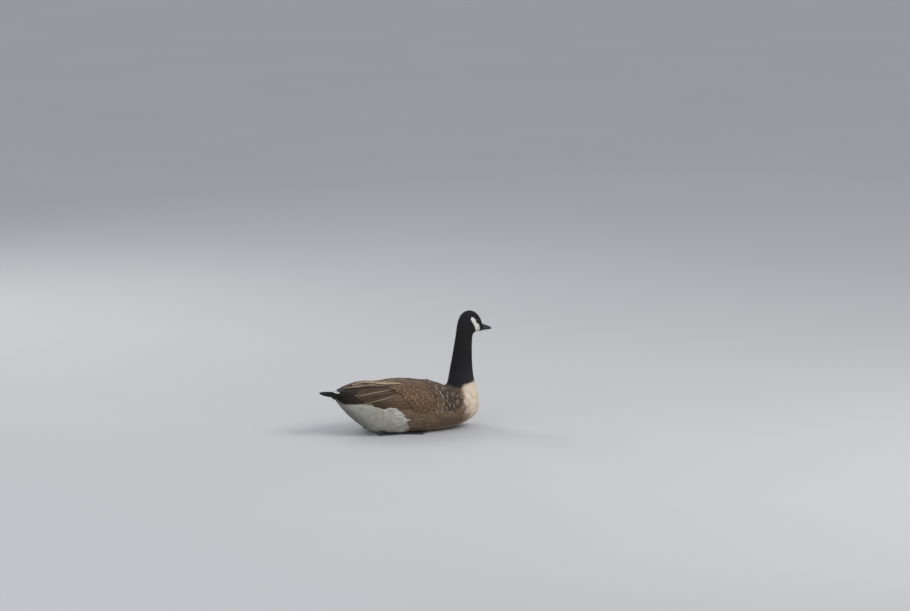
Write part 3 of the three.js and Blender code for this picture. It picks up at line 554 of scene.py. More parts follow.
def feather_material(name, roughness, sheen, barb, barb_depth, shaft, overlap_shadow=0.0, gloss=0.3):
    """Vane with a pale rim, a darker band inside it, slanting barbs and a shaft. barb is the barbs'
    pitch, barb_depth their relief and shaft the shaft's half width, in millimetres. overlap is how
    far the part under the next feather darkens: painted shadow of the feather above."""
    n = Nodes(name)
    v, u, _ = n.parts("place")
    across, along, _ = n.parts("size")
    side_rim, tip_rim, strength = n.parts("rim")
    tone, edge = n.attribute("tone", "Color"), n.attribute("edge", "Color")
    wide = n.math("ABSOLUTE", v)
    grain = n.noise(260, 2)
    ragged = n.scaled(grain, 0.06, -0.03)
    side_place = n.less(n.math("ADD", wide, ragged), n.less(1.0, side_rim))
    tip_place = n.less(n.math("ADD", u, ragged), n.less(1.0, tip_rim))
    from_root = (0.05, 0.3) if overlap_shadow else (0.2, 0.5)
    side = n.times(n.ramp(side_place, -0.05, 0.08), n.ramp(u, *from_root))
    if overlap_shadow:
        side = n.times(side, n.ramp(v, -0.3, 0.3, 0.15, 1.0))
    rim = n.math("MAXIMUM", side, n.ramp(tip_place, -0.03, 0.04))
    rim = n.times(rim, strength, True)
    inner = n.math("MAXIMUM", n.ramp(side_place, -0.5, -0.05), n.ramp(tip_place, -0.22, -0.03))
    inner = n.times(n.times(inner, strength), n.less(1.0, rim), True)
    slant = n.less(along, n.times(n.math("ABSOLUTE", across), 0.9))
    wave = n.math("SINE", n.times(slant, 2 * math.pi / barb))
    wave = n.times(wave, n.scaled(grain, 1.2, 0.1))
    colour = n.mix(n.times(inner, 0.36), tone, DARK)
    colour = n.mix(rim, colour, edge)
    shade = n.scaled(wave, 0.09, 1.0)
    shade = n.times(shade, n.scaled(n.noise(34, 3), 0.34, 0.83))
    stem = n.ramp(n.math("ABSOLUTE", across), shaft, shaft * 0.45)
    stem = n.times(stem, n.ramp(u, 0.98, 0.7))
    shade = n.times(shade, n.scaled(stem, -0.35, 1.0))
    # Painted shadow where the next feather lies over this one
    painted_overlap_shadow = n.times(n.ramp(v, 0.5, 0.05, 0.0, overlap_shadow), n.ramp(u, 0.94, 0.72))
    painted_overlap_shadow = n.times(painted_overlap_shadow, strength)
    shade = n.times(shade, n.less(1.0, painted_overlap_shadow))
    grey = n.add("ShaderNodeCombineColor")
    for socket in grey.inputs[:3]:
        n.put(shade, socket)
    colour = n.mix(1.0, colour, grey.outputs[0], "MULTIPLY")
    height = n.math("ADD", n.times(wave, 0.5), n.times(stem, 2.0))
    return n.set(Base_Color=colour, Normal=n.bump(height, barb_depth), Roughness=roughness,
                 Sheen_Weight=sheen, Sheen_Roughness=0.45, Specular_IOR_Level=gloss)


SOFT_FEATHER = feather_material("soft_feather", 0.8, 0.05, 0.7, 0.12, 0.28)
BLACK_FEATHER = feather_material("short_feather", 0.7, 0.03, 0.5, 0.08, 0.12)
FIRM_FEATHER = feather_material("firm_feather", 0.6, 0.01, 0.85, 0.14, 0.65, 0.5, 0.2)
TAIL_FEATHER = feather_material("tail_feather", 0.75, 0.0, 0.85, 0.14, 0.65, 0.5, 0.05)
BODY_COATS = {"body_plumage": SOFT_FEATHER, "black_plumage": BLACK_FEATHER}


def skin_material():
    n = Nodes("skin_down")
    tone = n.attribute("tone", "Color")
    grain = n.noise(900, 4)
    shade = n.mix(n.scaled(grain, 0.3, 0.05), tone, DARK)
    return n.set(Base_Color=shade, Normal=n.bump(grain, 0.5), Roughness=0.9, Specular_IOR_Level=0.2)


def horn_material():
    n = Nodes("bill_horn")
    streak = n.noise(420, 4)
    colour = n.mix(n.ramp(streak, 0.35, 0.75), (0.010, 0.010, 0.011, 1), (0.030, 0.029, 0.029, 1))
    dust = n.noise(70, 5)
    colour = n.mix(n.ramp(dust, 0.6, 0.85, 0, 0.25), colour, (0.09, 0.085, 0.075, 1))
    return n.set(Base_Color=colour, Roughness=n.ramp(dust, 0.3, 0.8, 0.28, 0.5),
                 Normal=n.bump(streak, 0.12), Specular_IOR_Level=0.5)


def leg_material():
    n = Nodes("leg_skin")
    cells = n.add("ShaderNodeTexVoronoi", feature="DISTANCE_TO_EDGE")
    cells.inputs["Scale"].default_value = 520
    n.put(n.place(), cells.inputs["Vector"])
    edge = n.ramp(cells.outputs["Distance"], 0.0, 0.14)
    colour = n.mix(edge, (0.006, 0.006, 0.006, 1), (0.034, 0.033, 0.030, 1))
    colour = n.mix(n.ramp(n.noise(60, 4), 0.5, 0.8, 0, 0.35), colour, (0.075, 0.07, 0.06, 1))
    return n.set(Base_Color=colour, Normal=n.bump(edge, 0.22), Roughness=0.5)


def eye_material():
    n = Nodes("eye_gloss")
    disc, _, _ = n.parts("place")
    rays = n.noise(9, 4, 0.6, n.attribute("place", "Vector"))
    iris = n.mix(n.ramp(rays, 0.35, 0.7), (0.007, 0.003, 0.002, 1), (0.022, 0.010, 0.005, 1))
    colour = n.mix(n.ramp(disc, 0.40, 0.46), (0.0008, 0.0008, 0.0008, 1), iris)
    colour = n.mix(n.ramp(disc, 0.80, 0.92), colour, (0.004, 0.003, 0.003, 1))
    return n.set(Base_Color=colour, Roughness=0.04, Specular_IOR_Level=0.35)


def lid_material():
    n = Nodes("lid_skin")
    folds = n.noise(1500, 3)
    colour = n.mix(folds, (0.006, 0.005, 0.006, 1), (0.026, 0.022, 0.023, 1))
    return n.set(Base_Color=colour, Normal=n.bump(folds, 0.25), Roughness=0.6)


SKIN, HORN, LEG = skin_material(), horn_material(), leg_material()
EYE, LID = eye_material(), lid_material()


# Folded wing's guide surface: x, lower edge y, z, pull of the widest stretch y, z, inner edge y, z,
# and how thick the wing is under it
WING = np.array([
    (148, 92, 88, 108, 142, 44, 148, 5), (110, 107, 80, 127, 152, 26, 161.5, 10),
    (60, 115, 77, 137, 162, 12, 172, 13), (5, 118, 80, 142, 170, 4, 179, 15),
    (-50, 115, 88, 137, 172.5, 3, 177.5, 16), (-100, 106, 100, 124, 172.5, 3, 174, 16),
    (-150, 91, 112, 105, 176.5, 3, 177.5, 16), (-200, 70, 117, 81, 167, 3, 168, 12),
    (-240, 46, 121, 54, 156, 3, 159.5, 6), (-262, 30, 134, 34, 152, 4, 155, 2.5),
], float)


def wing_station(x):
    """The rows of WING at x, carried on past the last one."""
    place = np.interp(-x, -WING[:, 0], np.arange(len(WING)))
    past = np.maximum(WING[-1, 0] - x, 0)
    s = smooth(WING, place)
    s[..., 1] -= 0.5 * past
    s[..., 3] -= 0.5 * past
    s[..., 2] += 0.05 * past
    return s


def wing_raw(x, q, lift):
    """Points of the guide surface at x and share q of the way up, lifted off it."""
    s = wing_station(x)
    by, bz, my, mz, ty, tz = (s[..., k] for k in range(1, 7))
    y = (1 - q) ** 2 * by + 2 * q * (1 - q) * my + q * q * ty
    z = (1 - q) ** 2 * bz + 2 * q * (1 - q) * mz + q * q * tz
    dy = 2 * (1 - q) * (my - by) + 2 * q * (ty - my)
    dz = 2 * (1 - q) * (mz - bz) + 2 * q * (tz - mz)
    long = np.maximum(np.hypot(dy, dz), 1e-6)
    return np.stack([x + 0 * q, np.maximum(y + dz / long * lift, 0.6), z - dy / long * lift], -1)


WING_X = np.linspace(175, -300, 191)
WING_Q = np.linspace(-0.15, 1.05, 61)
_rows = wing_raw(*np.meshgrid(WING_X, WING_Q, indexing="ij"), 0.0)
_steps = np.linalg.norm(np.diff(_rows, axis=1), axis=2)
WING_ARC = np.hstack([np.zeros((len(WING_X), 1)), np.cumsum(_steps, axis=1)])
WING_ARC -= np.array([np.interp(0, WING_Q, row) for row in WING_ARC])[:, None]
WING_LONG = np.array([np.interp(1, WING_Q, row) for row in WING_ARC])


def wing_long(x):
    return np.interp(-x, -WING_X, WING_LONG)


def wing_place(x, y, lift):
    """A point of the left wing at x, y millimetres up from its lower edge."""
    row = np.interp(-x, -WING_X, np.arange(len(WING_X)))
    i = np.clip(row.astype(int), 0, len(WING_X) - 2)
    f = row - i
    flat_i, flat_y = i.ravel(), np.asarray(y).ravel()
    q, q_next = np.empty(flat_y.shape), np.empty(flat_y.shape)
    for k in np.unique(flat_i):
        mine = flat_i == k
        q[mine], q_next[mine] = (np.interp(flat_y[mine], WING_ARC[r], WING_Q) for r in (k, k + 1))
    q = q.reshape(np.shape(y)) * (1 - f) + q_next.reshape(np.shape(y)) * f
    return wing_raw(x, q, lift)


BACK_Y = np.linspace(0, 70, 36)


def back_level(x):
    """Levels of the wings' upper side over the middle at x, which dip to the body in front."""
    inner_y, inner_z = wing_station(np.array([x]))[0, 5:7]
    p = wing_raw(np.full(60, x), np.linspace(1, 0.35, 60), 0.0)
    body = np.interp(x, OUTLINE[:14, 0], OUTLINE[:14, 1]) - 1.0
    dip = np.clip(1 - BACK_Y / max(inner_y, 1.0), 0, 1) * (inner_z - body) * step(4, 20, inner_y)
    return np.interp(BACK_Y, p[:, 1], p[:, 2]) - dip


BACK_Z = np.array([back_level(x) for x in WING_X])


def on_back(x, y, lift):
    """A point over the middle of the back, y millimetres to the left."""
    z = bilinear(BACK_Z, (WING_X[0] - x) / (WING_X[0] - WING_X[1]), np.abs(y) / BACK_Y[1])
    return np.stack([x, y, z + lift], -1)


# The wings' fronts and the back round an axis, which the shoulders' coat climbs over
HULL_X = np.arange(84.0, 176.0, 2.0)
HULL_TURN = np.linspace(0, 2.4, 97)
HULL_AXIS = 96.0


def front_outline(x):
    """Distances from the axis at x, by the angle from the top."""
    edge = wing_station(np.array([x]))[0, 5]
    p = np.vstack([on_back(np.full(30, x), np.linspace(0, edge, 30), 0.0),
                   wing_raw(np.full(50, x), np.linspace(1, 0, 50), 0.0)])
    y, z = p[:, 1], p[:, 2] - HULL_AXIS
    turn = np.arctan2(y, z)
    order = np.argsort(turn)
    return np.interp(HULL_TURN, turn[order], np.hypot(y, z)[order], right=0.0)


HULL = np.array([front_outline(x) for x in HULL_X])


def over_wing(p, lift):
    """Raises the coat onto the front of the folded wings."""
    x, y, z = p[..., 0], p[..., 1], p[..., 2] - HULL_AXIS
    row = (x - HULL_X[0]) / (HULL_X[1] - HULL_X[0])
    far = bilinear(HULL, row, np.arctan2(np.abs(y), z) / HULL_TURN[1])
    away = np.maximum(np.hypot(y, z), 1)
    rise = np.maximum(0, far + 1.0 - (away - lift)) * step(172, 152, x) * step(80, 90, x)
    rise = np.minimum(rise, 16) * step(40, 60, away)
    p[..., 1] += y / away * rise
    p[..., 2] += z / away * rise
    return p


def tucked(p):
    """Draws the body in where the wing's lower edge lies over it."""
    level = wing_station(p[..., 0])[..., 2]
    under = step(-12, 1, p[..., 2] - level) * step(-90, -122, p[..., 0])
    p[..., 1] -= np.sign(p[..., 1]) * TUCK * under * step(30, 50, np.abs(p[..., 1]))
    return p


# Skin: one mesh from the rump to the bill, under the coat
def build_skin():
    angles = np.linspace(0, 2 * math.pi, 120, endpoint=False)
    t, a = np.meshgrid(np.linspace(0, LAST, 240), angles, indexing="ij")
    p = tucked(skin_point(t, a, -coat_depth(t)))
    p[..., 2] = np.maximum(p[..., 2], FLOOR_CLEAR + 0.6)
    tone = rgba(marks(t, a, False)[0])
    uv = np.stack([a / (2 * math.pi) * 0.98 + 0.01, t / LAST * 0.98 + 0.01], -1)
    mesh_piece("skin", p, ring_quads(*t.shape, True), SKIN, {"tone": tone}, uv,
               replaces=("torso", "neck", "head"), crease=None)


EYES = {side: eye_centre(side) for side in SIDES}
EYE_OUT = {s: (EYES[s] - EYES[-s]) / np.linalg.norm(EYES[s] - EYES[-s]) for s in SIDES}


def from_eyes(p):
    """Distance from the nearer eye's axis, on that eye's side of the head."""
    nearest = np.full(p.shape[:-1], 1000.0)
    for side, out in EYE_OUT.items():
        d = p - EYES[side]
        along = d @ out
        away = np.linalg.norm(d - along[..., None] * out, axis=-1)
        nearest = np.where(along > 0, np.minimum(nearest, away), nearest)
    return nearest


def room_at_eyes(t, a, length):
    """Share of each feather's length that stays clear of the eyes."""
    share = np.ones(len(t))
    none = np.zeros((len(t), 1))
    if t.max() > HEAD_ROOT + 3:
        for f in (1.0, 0.85, 0.7, 0.55, 0.4, 0.25):
            p, _, _ = on_skin(t, a, f * length[:, None], none, none)
            share = np.where(from_eyes(p[:, 0]) > EYE_ROOM, share, f - 0.12)
    return share


def coat(name, t_range, keep, vanes, slot, shape, seed, scale=1.0):
    """Feathers of one stretch of the body. shape is their length and half width as shares of the
    spacing, how far their tips lift and how far they turn aside in degrees."""
    t, a = scatter(t_range, keep, scale, seed)
    random = np.random.default_rng(seed + 100)
    n = len(t)
    gathered = Coat()
    r = spacing(t) * scale
    long_share, half_share, rise, aside = shape
    length = r * long_share * random.uniform(0.85, 1.15, n)
    half = r * half_share * random.uniform(0.88, 1.12, n)
    tilt = np.radians(random.normal(0, aside, n))
    depth = coat_depth(t)
    share = room_at_eyes(t, a, length)
    kept = share > 0.25
    t, a, r, half, tilt, depth, length = (v[kept] for v in (t, a, r, half, tilt, depth, length * share))
    n = len(t)
    none = np.zeros((n, 1))
    _, tip_t, tip_a = on_skin(t, a, 0.72 * length[:, None], none, none)
    base, edge, strength, _ = marks(tip_t[:, 0], tip_a[:, 0])
    bright = random.normal(1, 0.07, n)[:, None]
    warm = 1 + random.normal(0, 0.02, n)[:, None] * np.array([1, 0, -1])
    tone, edge = base * bright * warm, edge * bright
    strength = strength * random.uniform(0.4, 1.0, n)
    rim = np.stack([0.16 + 0 * strength, 0.10 + 0 * strength, strength], -1)
    pick = random.integers(len(vanes), size=n)
    lifted = depth * random.normal(0, 0.16, n) + rise * r
    for k, vane in enumerate(vanes):
        mine = pick == k
        if not mine.any():
            continue
        L, H = length[mine, None], half[mine, None]
        x, y = vane.v * vane.w * H, vane.u * L
        c, s = np.cos(tilt[mine])[:, None], np.sin(tilt[mine])[:, None]
        curve = (1 - vane.v ** 2) * vane.w * 0.22 * H
        lift = -depth[mine, None] * (1 - vane.u ** 0.8) + lifted[mine, None] * vane.u
        lift = lift + curve + vane.h * 0.10 * H
        p, _, _ = on_skin(t[mine], a[mine], y * c - x * s, x * c + y * s, lift)
        p = over_wing(tucked(p), lift)
        layers = feather_layers(vane, length[mine], half[mine], tone[mine], edge[mine], rim[mine],
                                random.random(mine.sum()))
        home = np.stack([a[mine] / (2 * math.pi), t[mine] / LAST], -1)
        gathered.add(p, vane, False, layers, patch_uv(home, vane))
    gathered.piece(name, BODY_COATS[slot], slot)


def long_rows(tip, root, point=0.0):
    """Rows of a long feather whose end rounds off over the last share tip."""
    rows = []
    for u in (0, 0.1, 0.25, 0.42, 0.58, 0.7, 0.79, 0.86, 0.91, 0.95, 0.98, 1):
        end = max(0.0, (u - (1 - tip)) / tip)
        blunt = math.sqrt(max(0.0, 1 - end ** 2))
        full = root + (1 - root) * min(1, u / 0.4)
        rows.append((u, max(0.06, full * (blunt * (1 - point) + (1 - end) * point))))
    return rows


COVERT = Vane(long_rows(0.34, 0.6), LENS10)
TERTIAL = Vane(long_rows(0.26, 0.6, 0.15), LENS10)
FLIGHT = Vane(long_rows(0.2, 0.55, 0.35), LENS10)
RECTRIX = Vane(long_rows(0.14, 0.6, 0.1), LENS10)

# Tiers of the folded wing: vane, colours, count and half width, then pairs for the lowest and the
# highest feather: x and share of the way up of the root, the same of the tip, and the lift behind
# the root and at the tip
TIERS = [
    (FLIGHT, "primary", 10, 9, -150, -135, 0.10, 0.74, -264, -230, 0.04, 0.82, -2.6, -1.6, -0.4, 1.8),
    (FLIGHT, "secondary", 7, 12, 24, -44, 0.05, 0.44, -150, -208, 0.02, 0.30, -1.6, 0.2, 0.2, 2.4),
    (TERTIAL, "outer", 2, 17, -38, -46, 0.46, 0.60, -178, -198, 0.10, 0.36, 0.3, 0.9, 3.0, 3.9),
    (TERTIAL, "tertial", 2, 17, -54, -62, 0.74, 0.90, -212, -230, 0.88, 0.96, 0.6, 1.7, 3.9, 5.0),
    (COVERT, "greater", 12, 11.5, 64, 0, 0.03, 0.66, 4, -84, 0.02, 0.62, -0.4, -0.2, 2.5, 3.2),
    (COVERT, "covert", 13, 10, 84, 28, 0.03, 0.70, 24, -58, 0.03, 0.68, -0.6, -0.4, 2.5, 3.0),
    (COVERT, "covert", 13, 9.5, 100, 50, 0.03, 0.72, 43, -32, 0.03, 0.70, -0.6, -0.4, 2.4, 2.7),
    (COVERT, "covert", 14, 8.6, 114, 70, 0.04, 0.74, 60, -8, 0.03, 0.71, -0.6, -0.4, 2.2, 2.5),
    (COVERT, "covert", 14, 8, 126, 88, 0.04, 0.76, 76, 15, 0.04, 0.73, -0.6, -0.4, 2.0, 2.3),
    (COVERT, "mantle", 14, 7.6, 138, 106, 0.05, 0.78, 92, 38, 0.05, 0.75, -0.8, -0.6, 1.8, 2.1),
    (COVERT, "fore", 12, 8.5, 148, 126, 0.05, 0.80, 107, 62, 0.05, 0.76, -1.2, -1.2, 1.6, 1.9),
    (COVERT, "fore", 11, 8.5, 155, 144, 0.06, 0.82, 121, 86, 0.05, 0.78, -1.8, -1.8, 1.3, 1.6),
    (COVERT, "fore", 10, 8, 160, 156, 0.10, 0.84, 134, 110, 0.06, 0.80, -2.2, -2.2, 1.0, 1.2),
    (TERTIAL, "pale", 3, 14, -10, -20, 0.80, 0.97, -128, -168, 0.91, 0.98, 1.6, 1.9, 5.3, 5.5),
    (TERTIAL, "pale", 3, 13.5, 20, 12, 0.80, 0.97, -80, -120, 0.86, 0.97, 1.4, 1.6, 4.8, 5.0),
    (COVERT, "scapular", 4, 13, 46, 42, 0.75, 0.97, -34, -72, 0.76, 0.96, 0.8, 1.0, 3.8, 4.2),
    (COVERT, "scapular", 5, 12, 72, 68, 0.72, 0.97, 2, -32, 0.72, 0.96, 0.5, 0.8, 3.5, 3.9),
    (COVERT, "scapular", 5, 11, 98, 94, 0.72, 0.96, 36, 10, 0.70, 0.95, 0.2, 0.5, 3.1, 3.4),
    (COVERT, "mantle", 5, 10, 122, 119, 0.74, 0.96, 68, 48, 0.72, 0.95, -0.6, -0.2, 2.6, 2.9),
    (COVERT, "fore", 5, 9.5, 144, 142, 0.78, 0.97, 96, 80, 0.76, 0.96, -1.6, -1.2, 2.0, 2.2),
    (COVERT, "fore", 5, 9, 158, 156, 0.80, 0.98, 122, 108, 0.80, 0.97, -2.2, -2.0, 1.2, 1.4),
]
# Colour, rim colour, side rim, tip rim, strength of the rim and share of the colour left at the tip
PAINT = {
    "primary": (lin(63, 47, 40), lin(82, 68, 60), 0.10, 0.03, 0.5, 0.12),
    "secondary": (lin(104, 82, 63), lin(160, 133, 106), 0.12, 0.04, 0.5, 0.45),
    "outer": (lin(88, 69, 53), lin(206, 182, 156), 0.14, -0.06, 1.0, 0.85),
    "tertial": (lin(106, 84, 65), lin(216, 194, 168), 0.14, -0.06, 1.0, 0.9),
    "greater": (lin(108, 84, 62), lin(168, 142, 114), 0.11, 0.035, 0.9, 1.0),
    "covert": (lin(108, 84, 62), lin(160, 134, 106), 0.10, 0.05, 0.85, 1.0),
    "scapular": (lin(102, 81, 62), lin(182, 157, 128), 0.11, 0.035, 0.95, 1.0),
    "pale": (lin(170, 148, 123), lin(220, 199, 174), 0.12, 0.035, 1.0, 1.0),
    "mantle": (lin(92, 72, 56), lin(174, 152, 128), 0.11, 0.05, 0.95, 1.0),
    "fore": (lin(72, 57, 47), lin(176, 157, 137), 0.10, 0.06, 1.0, 1.0),
    "back": (lin(148, 124, 99), lin(206, 183, 156), 0.11, 0.04, 0.9, 1.0),
    "rump": (lin(38, 33, 32), lin(62, 54, 49), 0.10, 0.04, 0.5, 1.0),
}


def lay_row(gathered, place, vane, root, tip, half, base, rise, paint, random, side=1):
    """A row of long feathers. root and tip are (x, y) on the chart that place turns into points."""
    n = len(half)
    long = np.hypot(tip[0] - root[0], tip[1] - root[1])
    cx, cy = (tip[0] - root[0]) / long, (tip[1] - root[1]) / long
    bow = random.normal(0.012, 0.012, n)[:, None] * long[:, None]
    along, across = vane.u * long[:, None], vane.v * vane.w * half[:, None]
    across = across + bow * np.sin(math.pi * vane.u)
    x = root[0][:, None] + cx[:, None] * along + cy[:, None] * across
    y = root[1][:, None] + cy[:, None] * along + cx[:, None] * across
    rear = np.clip((vane.u - 0.12) / 0.88, 0, 1)
    lift = base[:, None] * (1 - rear) + rise[:, None] * rear
    lift = np.where(vane.u < 0.12, lift - 2.5 * (1 - vane.u / 0.12), lift)
    lift = lift + 0.8 * vane.v * vane.w + (1 - vane.v ** 2) * 0.9 * vane.w + 0.26 * vane.h
    loose = 0.05 if vane in (FLIGHT, TERTIAL) else 0.18
    lift = lift + random.normal(0, loose, n)[:, None]
    p = place(x, y, lift)
    p[..., 1] *= side
    bright = random.normal(1, 0.09, n)[:, None]
    warm = 1 + random.normal(0, 0.025, n)[:, None] * np.array([1, 0, -1])
    colour, rim_colour, side_rim, tip_rim, strength, left = PAINT[paint]
    rim = np.tile((side_rim, tip_rim, strength), (n, 1)) * random.uniform(0.7, 1.15, (n, 1))
    layers = feather_layers(vane, long, half, colour * bright * warm, rim_colour * bright, rim,
                            random.random(n))
    # Darker towards the tip: partly the flight feathers' own darker ends, partly painted shade under
    # the tertials
    darker_to_tip = 1 - (1 - left) * np.clip((vane.u - 0.3) / 0.6, 0, 1)
    layers["tone"][..., :3] *= darker_to_tip[None, :, None]
    gathered.add(p, vane, side < 0, layers, gathered.cell_uv(vane, n))


def on_wing(x, y, lift):
    return wing_place(x, np.minimum(y, wing_long(x) * 0.999), lift)


def wing_feathers(side, seed):
    """The wing's modelled feathers on one side, from the flight feathers forward."""
    random = np.random.default_rng(seed)
    gathered = Coat(cells=math.ceil(math.sqrt(sum(tier[2] for tier in TIERS))))
    for vane, paint, count, half, *ends in TIERS:
        k = np.linspace(0, 1, count)
        rx, ry, tx, ty, base, rise = (a + (b - a) * k for a, b in zip(ends[::2], ends[1::2]))
        uneven = 0.5 if paint in ("primary", "secondary", "tertial") else 1.0
        tx = tx + random.normal(0, 3.0 * uneven, count)
        ry, ty = ry * wing_long(rx), ty * wing_long(tx) + random.normal(0, 1.8 * uneven, count)
        half = half * random.uniform(0.9, 1.12, count)
        lay_row(gathered, on_wing, vane, (rx, ry), (tx, ty), half, base, rise, paint, random, side)
    name = SIDES[side]
    gathered.piece(f"wing_feathers_{name}", FIRM_FEATHER, "wing_plumage", (f"wing_{name}",))


def back_feathers():
    random = np.random.default_rng(72)
    rows = np.arange(-183, 136, 13.0)
    gathered = Coat(cells=math.ceil(math.sqrt(len(rows) * 6)))
    for x in rows:
        dark = x < -124
        front = max(0.0, (x + 118) / 250)
        count = 3 if dark else 5 + gathered.feathers % 2
        k = np.linspace(-1, 1, count)
        wide = 9 if dark else 13 + 22 * front ** 1.5
        long = 70 - 28 * front
        root = (x + random.normal(0, 2.5, count), k * wide + random.normal(0, 1.2, count))
        tip = (root[0] - long + random.normal(0, 3, count) + 5 * k ** 2, root[1] * (1.06 + 0.2 * front))
        low = -2.0 if dark else 0.2 - 3.2 * front
        high = 0.3 if dark else 2.6 - 1.4 * front
        half = (11.5 - 3.5 * front) * random.uniform(0.9, 1.1, count)
        paint = "rump" if dark else "fore" if x > 96 else "mantle" if x > 50 else "back"
        lay_row(gathered, on_back, COVERT, root, tip, half, 0 * k + low, high - 0.5 * k ** 2,
                paint, random)
    gathered.piece("back_feathers", FIRM_FEATHER, "wing_plumage")


def wing_core(side):
    """The folded wing's mass under its feathers."""
    x, q = np.meshgrid(np.linspace(150, -232, 60), np.linspace(0.02, 0.985, 26), indexing="ij")
    top = wing_raw(x, q, -2.6)
    under = wing_raw(x, q, -2.6 - wing_station(x)[..., 7])[:, ::-1]
    p = np.concatenate([top, under], 1)
    p[..., 1] *= side
    rows, count = p.shape[:2]
    tone = np.tile(rgba(PAINT["secondary"][0] * 0.8), (rows * count, 1))
    mesh_piece(f"wing_core_{SIDES[side]}", p, ring_quads(rows, count, side < 0), SKIN,
               {"tone": tone}, grid_uv(rows, count), crease=60)


# Tail: feathers in a fan over a point inside the rump
TAIL_FAN_X = -185.0
TAIL_ARCH = 0.0003
TAIL_OUTER, TAIL_SPREAD = 9, 25  # feathers and degrees on each side of the middle one


def fan_feathers(gathered, vane, angles, reach, half, levels, start, paint, seed, roll=1.4):
    """Tail feathers at angles in degrees, from start to reach millimetres from the fan's point.
    levels are those of root and tip, and roll is how far the edges tilt."""
    random = np.random.default_rng(seed)
    n = len(angles)
    colour, rim_colour, side_rim, tip_rim, strength = paint
    angles = np.radians(angles)
    side = np.where(angles < 0, -1, 1)
    size = np.abs(angles)
    direction = np.stack([-np.cos(angles), np.sin(angles)], -1)
    outward = np.stack([np.sin(size), side * np.cos(size)], -1)
    long = np.full(n, float(reach - start))
    along = start + vane.u[None] * long[:, None]
    across = vane.v * vane.w * half
    xy = direction[:, None] * along[..., None] + outward[:, None] * across[:, None]
    x, y = TAIL_FAN_X + xy[..., 0], xy[..., 1]
    out = across * np.sign(y + 1e-9)
    z = levels[0] + (levels[1] - levels[0]) * vane.u - TAIL_ARCH * y ** 2
    z = z + roll * np.where(size[:, None] > 1e-4, out / half, 0) * 0.5
    z = z + (1 - vane.v ** 2) * 0.8 * vane.w + 0.3 * vane.h
    bright = random.normal(1, 0.06, n)[:, None]
    rim = np.tile((side_rim, tip_rim, strength), (n, 1)).astype(float)
    layers = feather_layers(vane, long, np.full(n, float(half)), colour * bright,
                            rim_colour * bright, rim, random.random(n))
    gathered.add(np.stack([x, y, z], -1), vane, True, layers, gathered.cell_uv(vane, n))


def build_tail():
    """The fan from its outer feathers to the middle one, then coverts under and over its root."""
    gathered = Coat(cells=10)
    black = (lin(20, 18, 20), lin(36, 32, 31), 0.08, 0.02, 0.5)
    white = (lin(206, 200, 188), lin(220, 215, 205), 0.1, 0.1, 0.3)
    # The undertail coverts are white; this grey is painted shade under the tail
    white_in_painted_shade = (lin(116, 112, 104), lin(150, 146, 138), 0.1, 0.1, 0.3)
    for side in SIDES:
        for k in range(TAIL_OUTER, 0, -1):
            angle = side * k * TAIL_SPREAD / TAIL_OUTER
            reach = 125 - 7 * (k / TAIL_OUTER) ** 2
            levels = (147.5 - 0.15 * k, 147.4 - 0.15 * k)
            fan_feathers(gathered, RECTRIX, [angle], reach, 10.5, levels, 30, black,
                         300 + 20 * side + k)
    fan_feathers(gathered, RECTRIX, [0.0], 126, 10.5, (148.9, 148.5), 30, black, 333)

    # Each row: reach, levels of root and tip, half width, half spread in degrees
    under = ((92, (129, 138), 8, 18), (80, (123, 133), 9, 20), (64, (114, 126), 10, 22))
    over = ((75, (152.6, 151.2), 7.5, 12), (67, (154.0, 152.6), 7.5, 13))
    for rows, vane, count, start, paint, seed, roll in ((under, COVERT, 9, 10, white_in_painted_shade, 400, -0.8),
                                                        (over, FLIGHT, 8, 20, white, 500, 1.4)):
        for k, (reach, levels, half, spread) in enumerate(rows):
            angles = np.linspace(-spread, spread, count) + (k % 2) * 2
            fan_feathers(gathered, vane, angles, reach, half, levels, start, paint, seed + k, roll)
    gathered.piece("tail_feathers", TAIL_FEATHER, "tail_plumage", ("tail",))


# Bill
MOUTH_HEIGHT = 9.2
BILL_OVER, BILL_UNDER, BILL_HALF, BILL_ROUND_FROM = 6.2, 2.6, 9.3, 0.8
GAP = 0.3
COMB_PITCH = 1.7  # of the comb of the bill's edges


def bill_frame(u):
    """x, top, bottom, mouth, half width and bluntness of the bill at shares u of its length."""
    base = OUTLINE[-1]
    reach = BILL_LENGTH * u
    over = base[1] - base[3] - MOUTH_HEIGHT
    mouth = base[3] + MOUTH_HEIGHT - math.tan(math.radians(BILL_PITCH)) * reach
    top = mouth + over + (BILL_OVER - over) * u ** 0.8 + 0.9 * np.sin(math.pi * u)
    bottom = mouth - (MOUTH_HEIGHT + (BILL_UNDER - MOUTH_HEIGHT) * u ** 0.7)
    end = np.maximum(0, (u - BILL_ROUND_FROM) / (1 - BILL_ROUND_FROM))
    blunt = np.sqrt(np.maximum(0, 1 - end ** 2))
    half = (base[4] + (BILL_HALF - base[4]) * np.minimum(1, u / 0.75)) * np.maximum(blunt, 0.12)
    return base[2] + GAP + reach, top, bottom, mouth, half, np.maximum(blunt, 0.2)


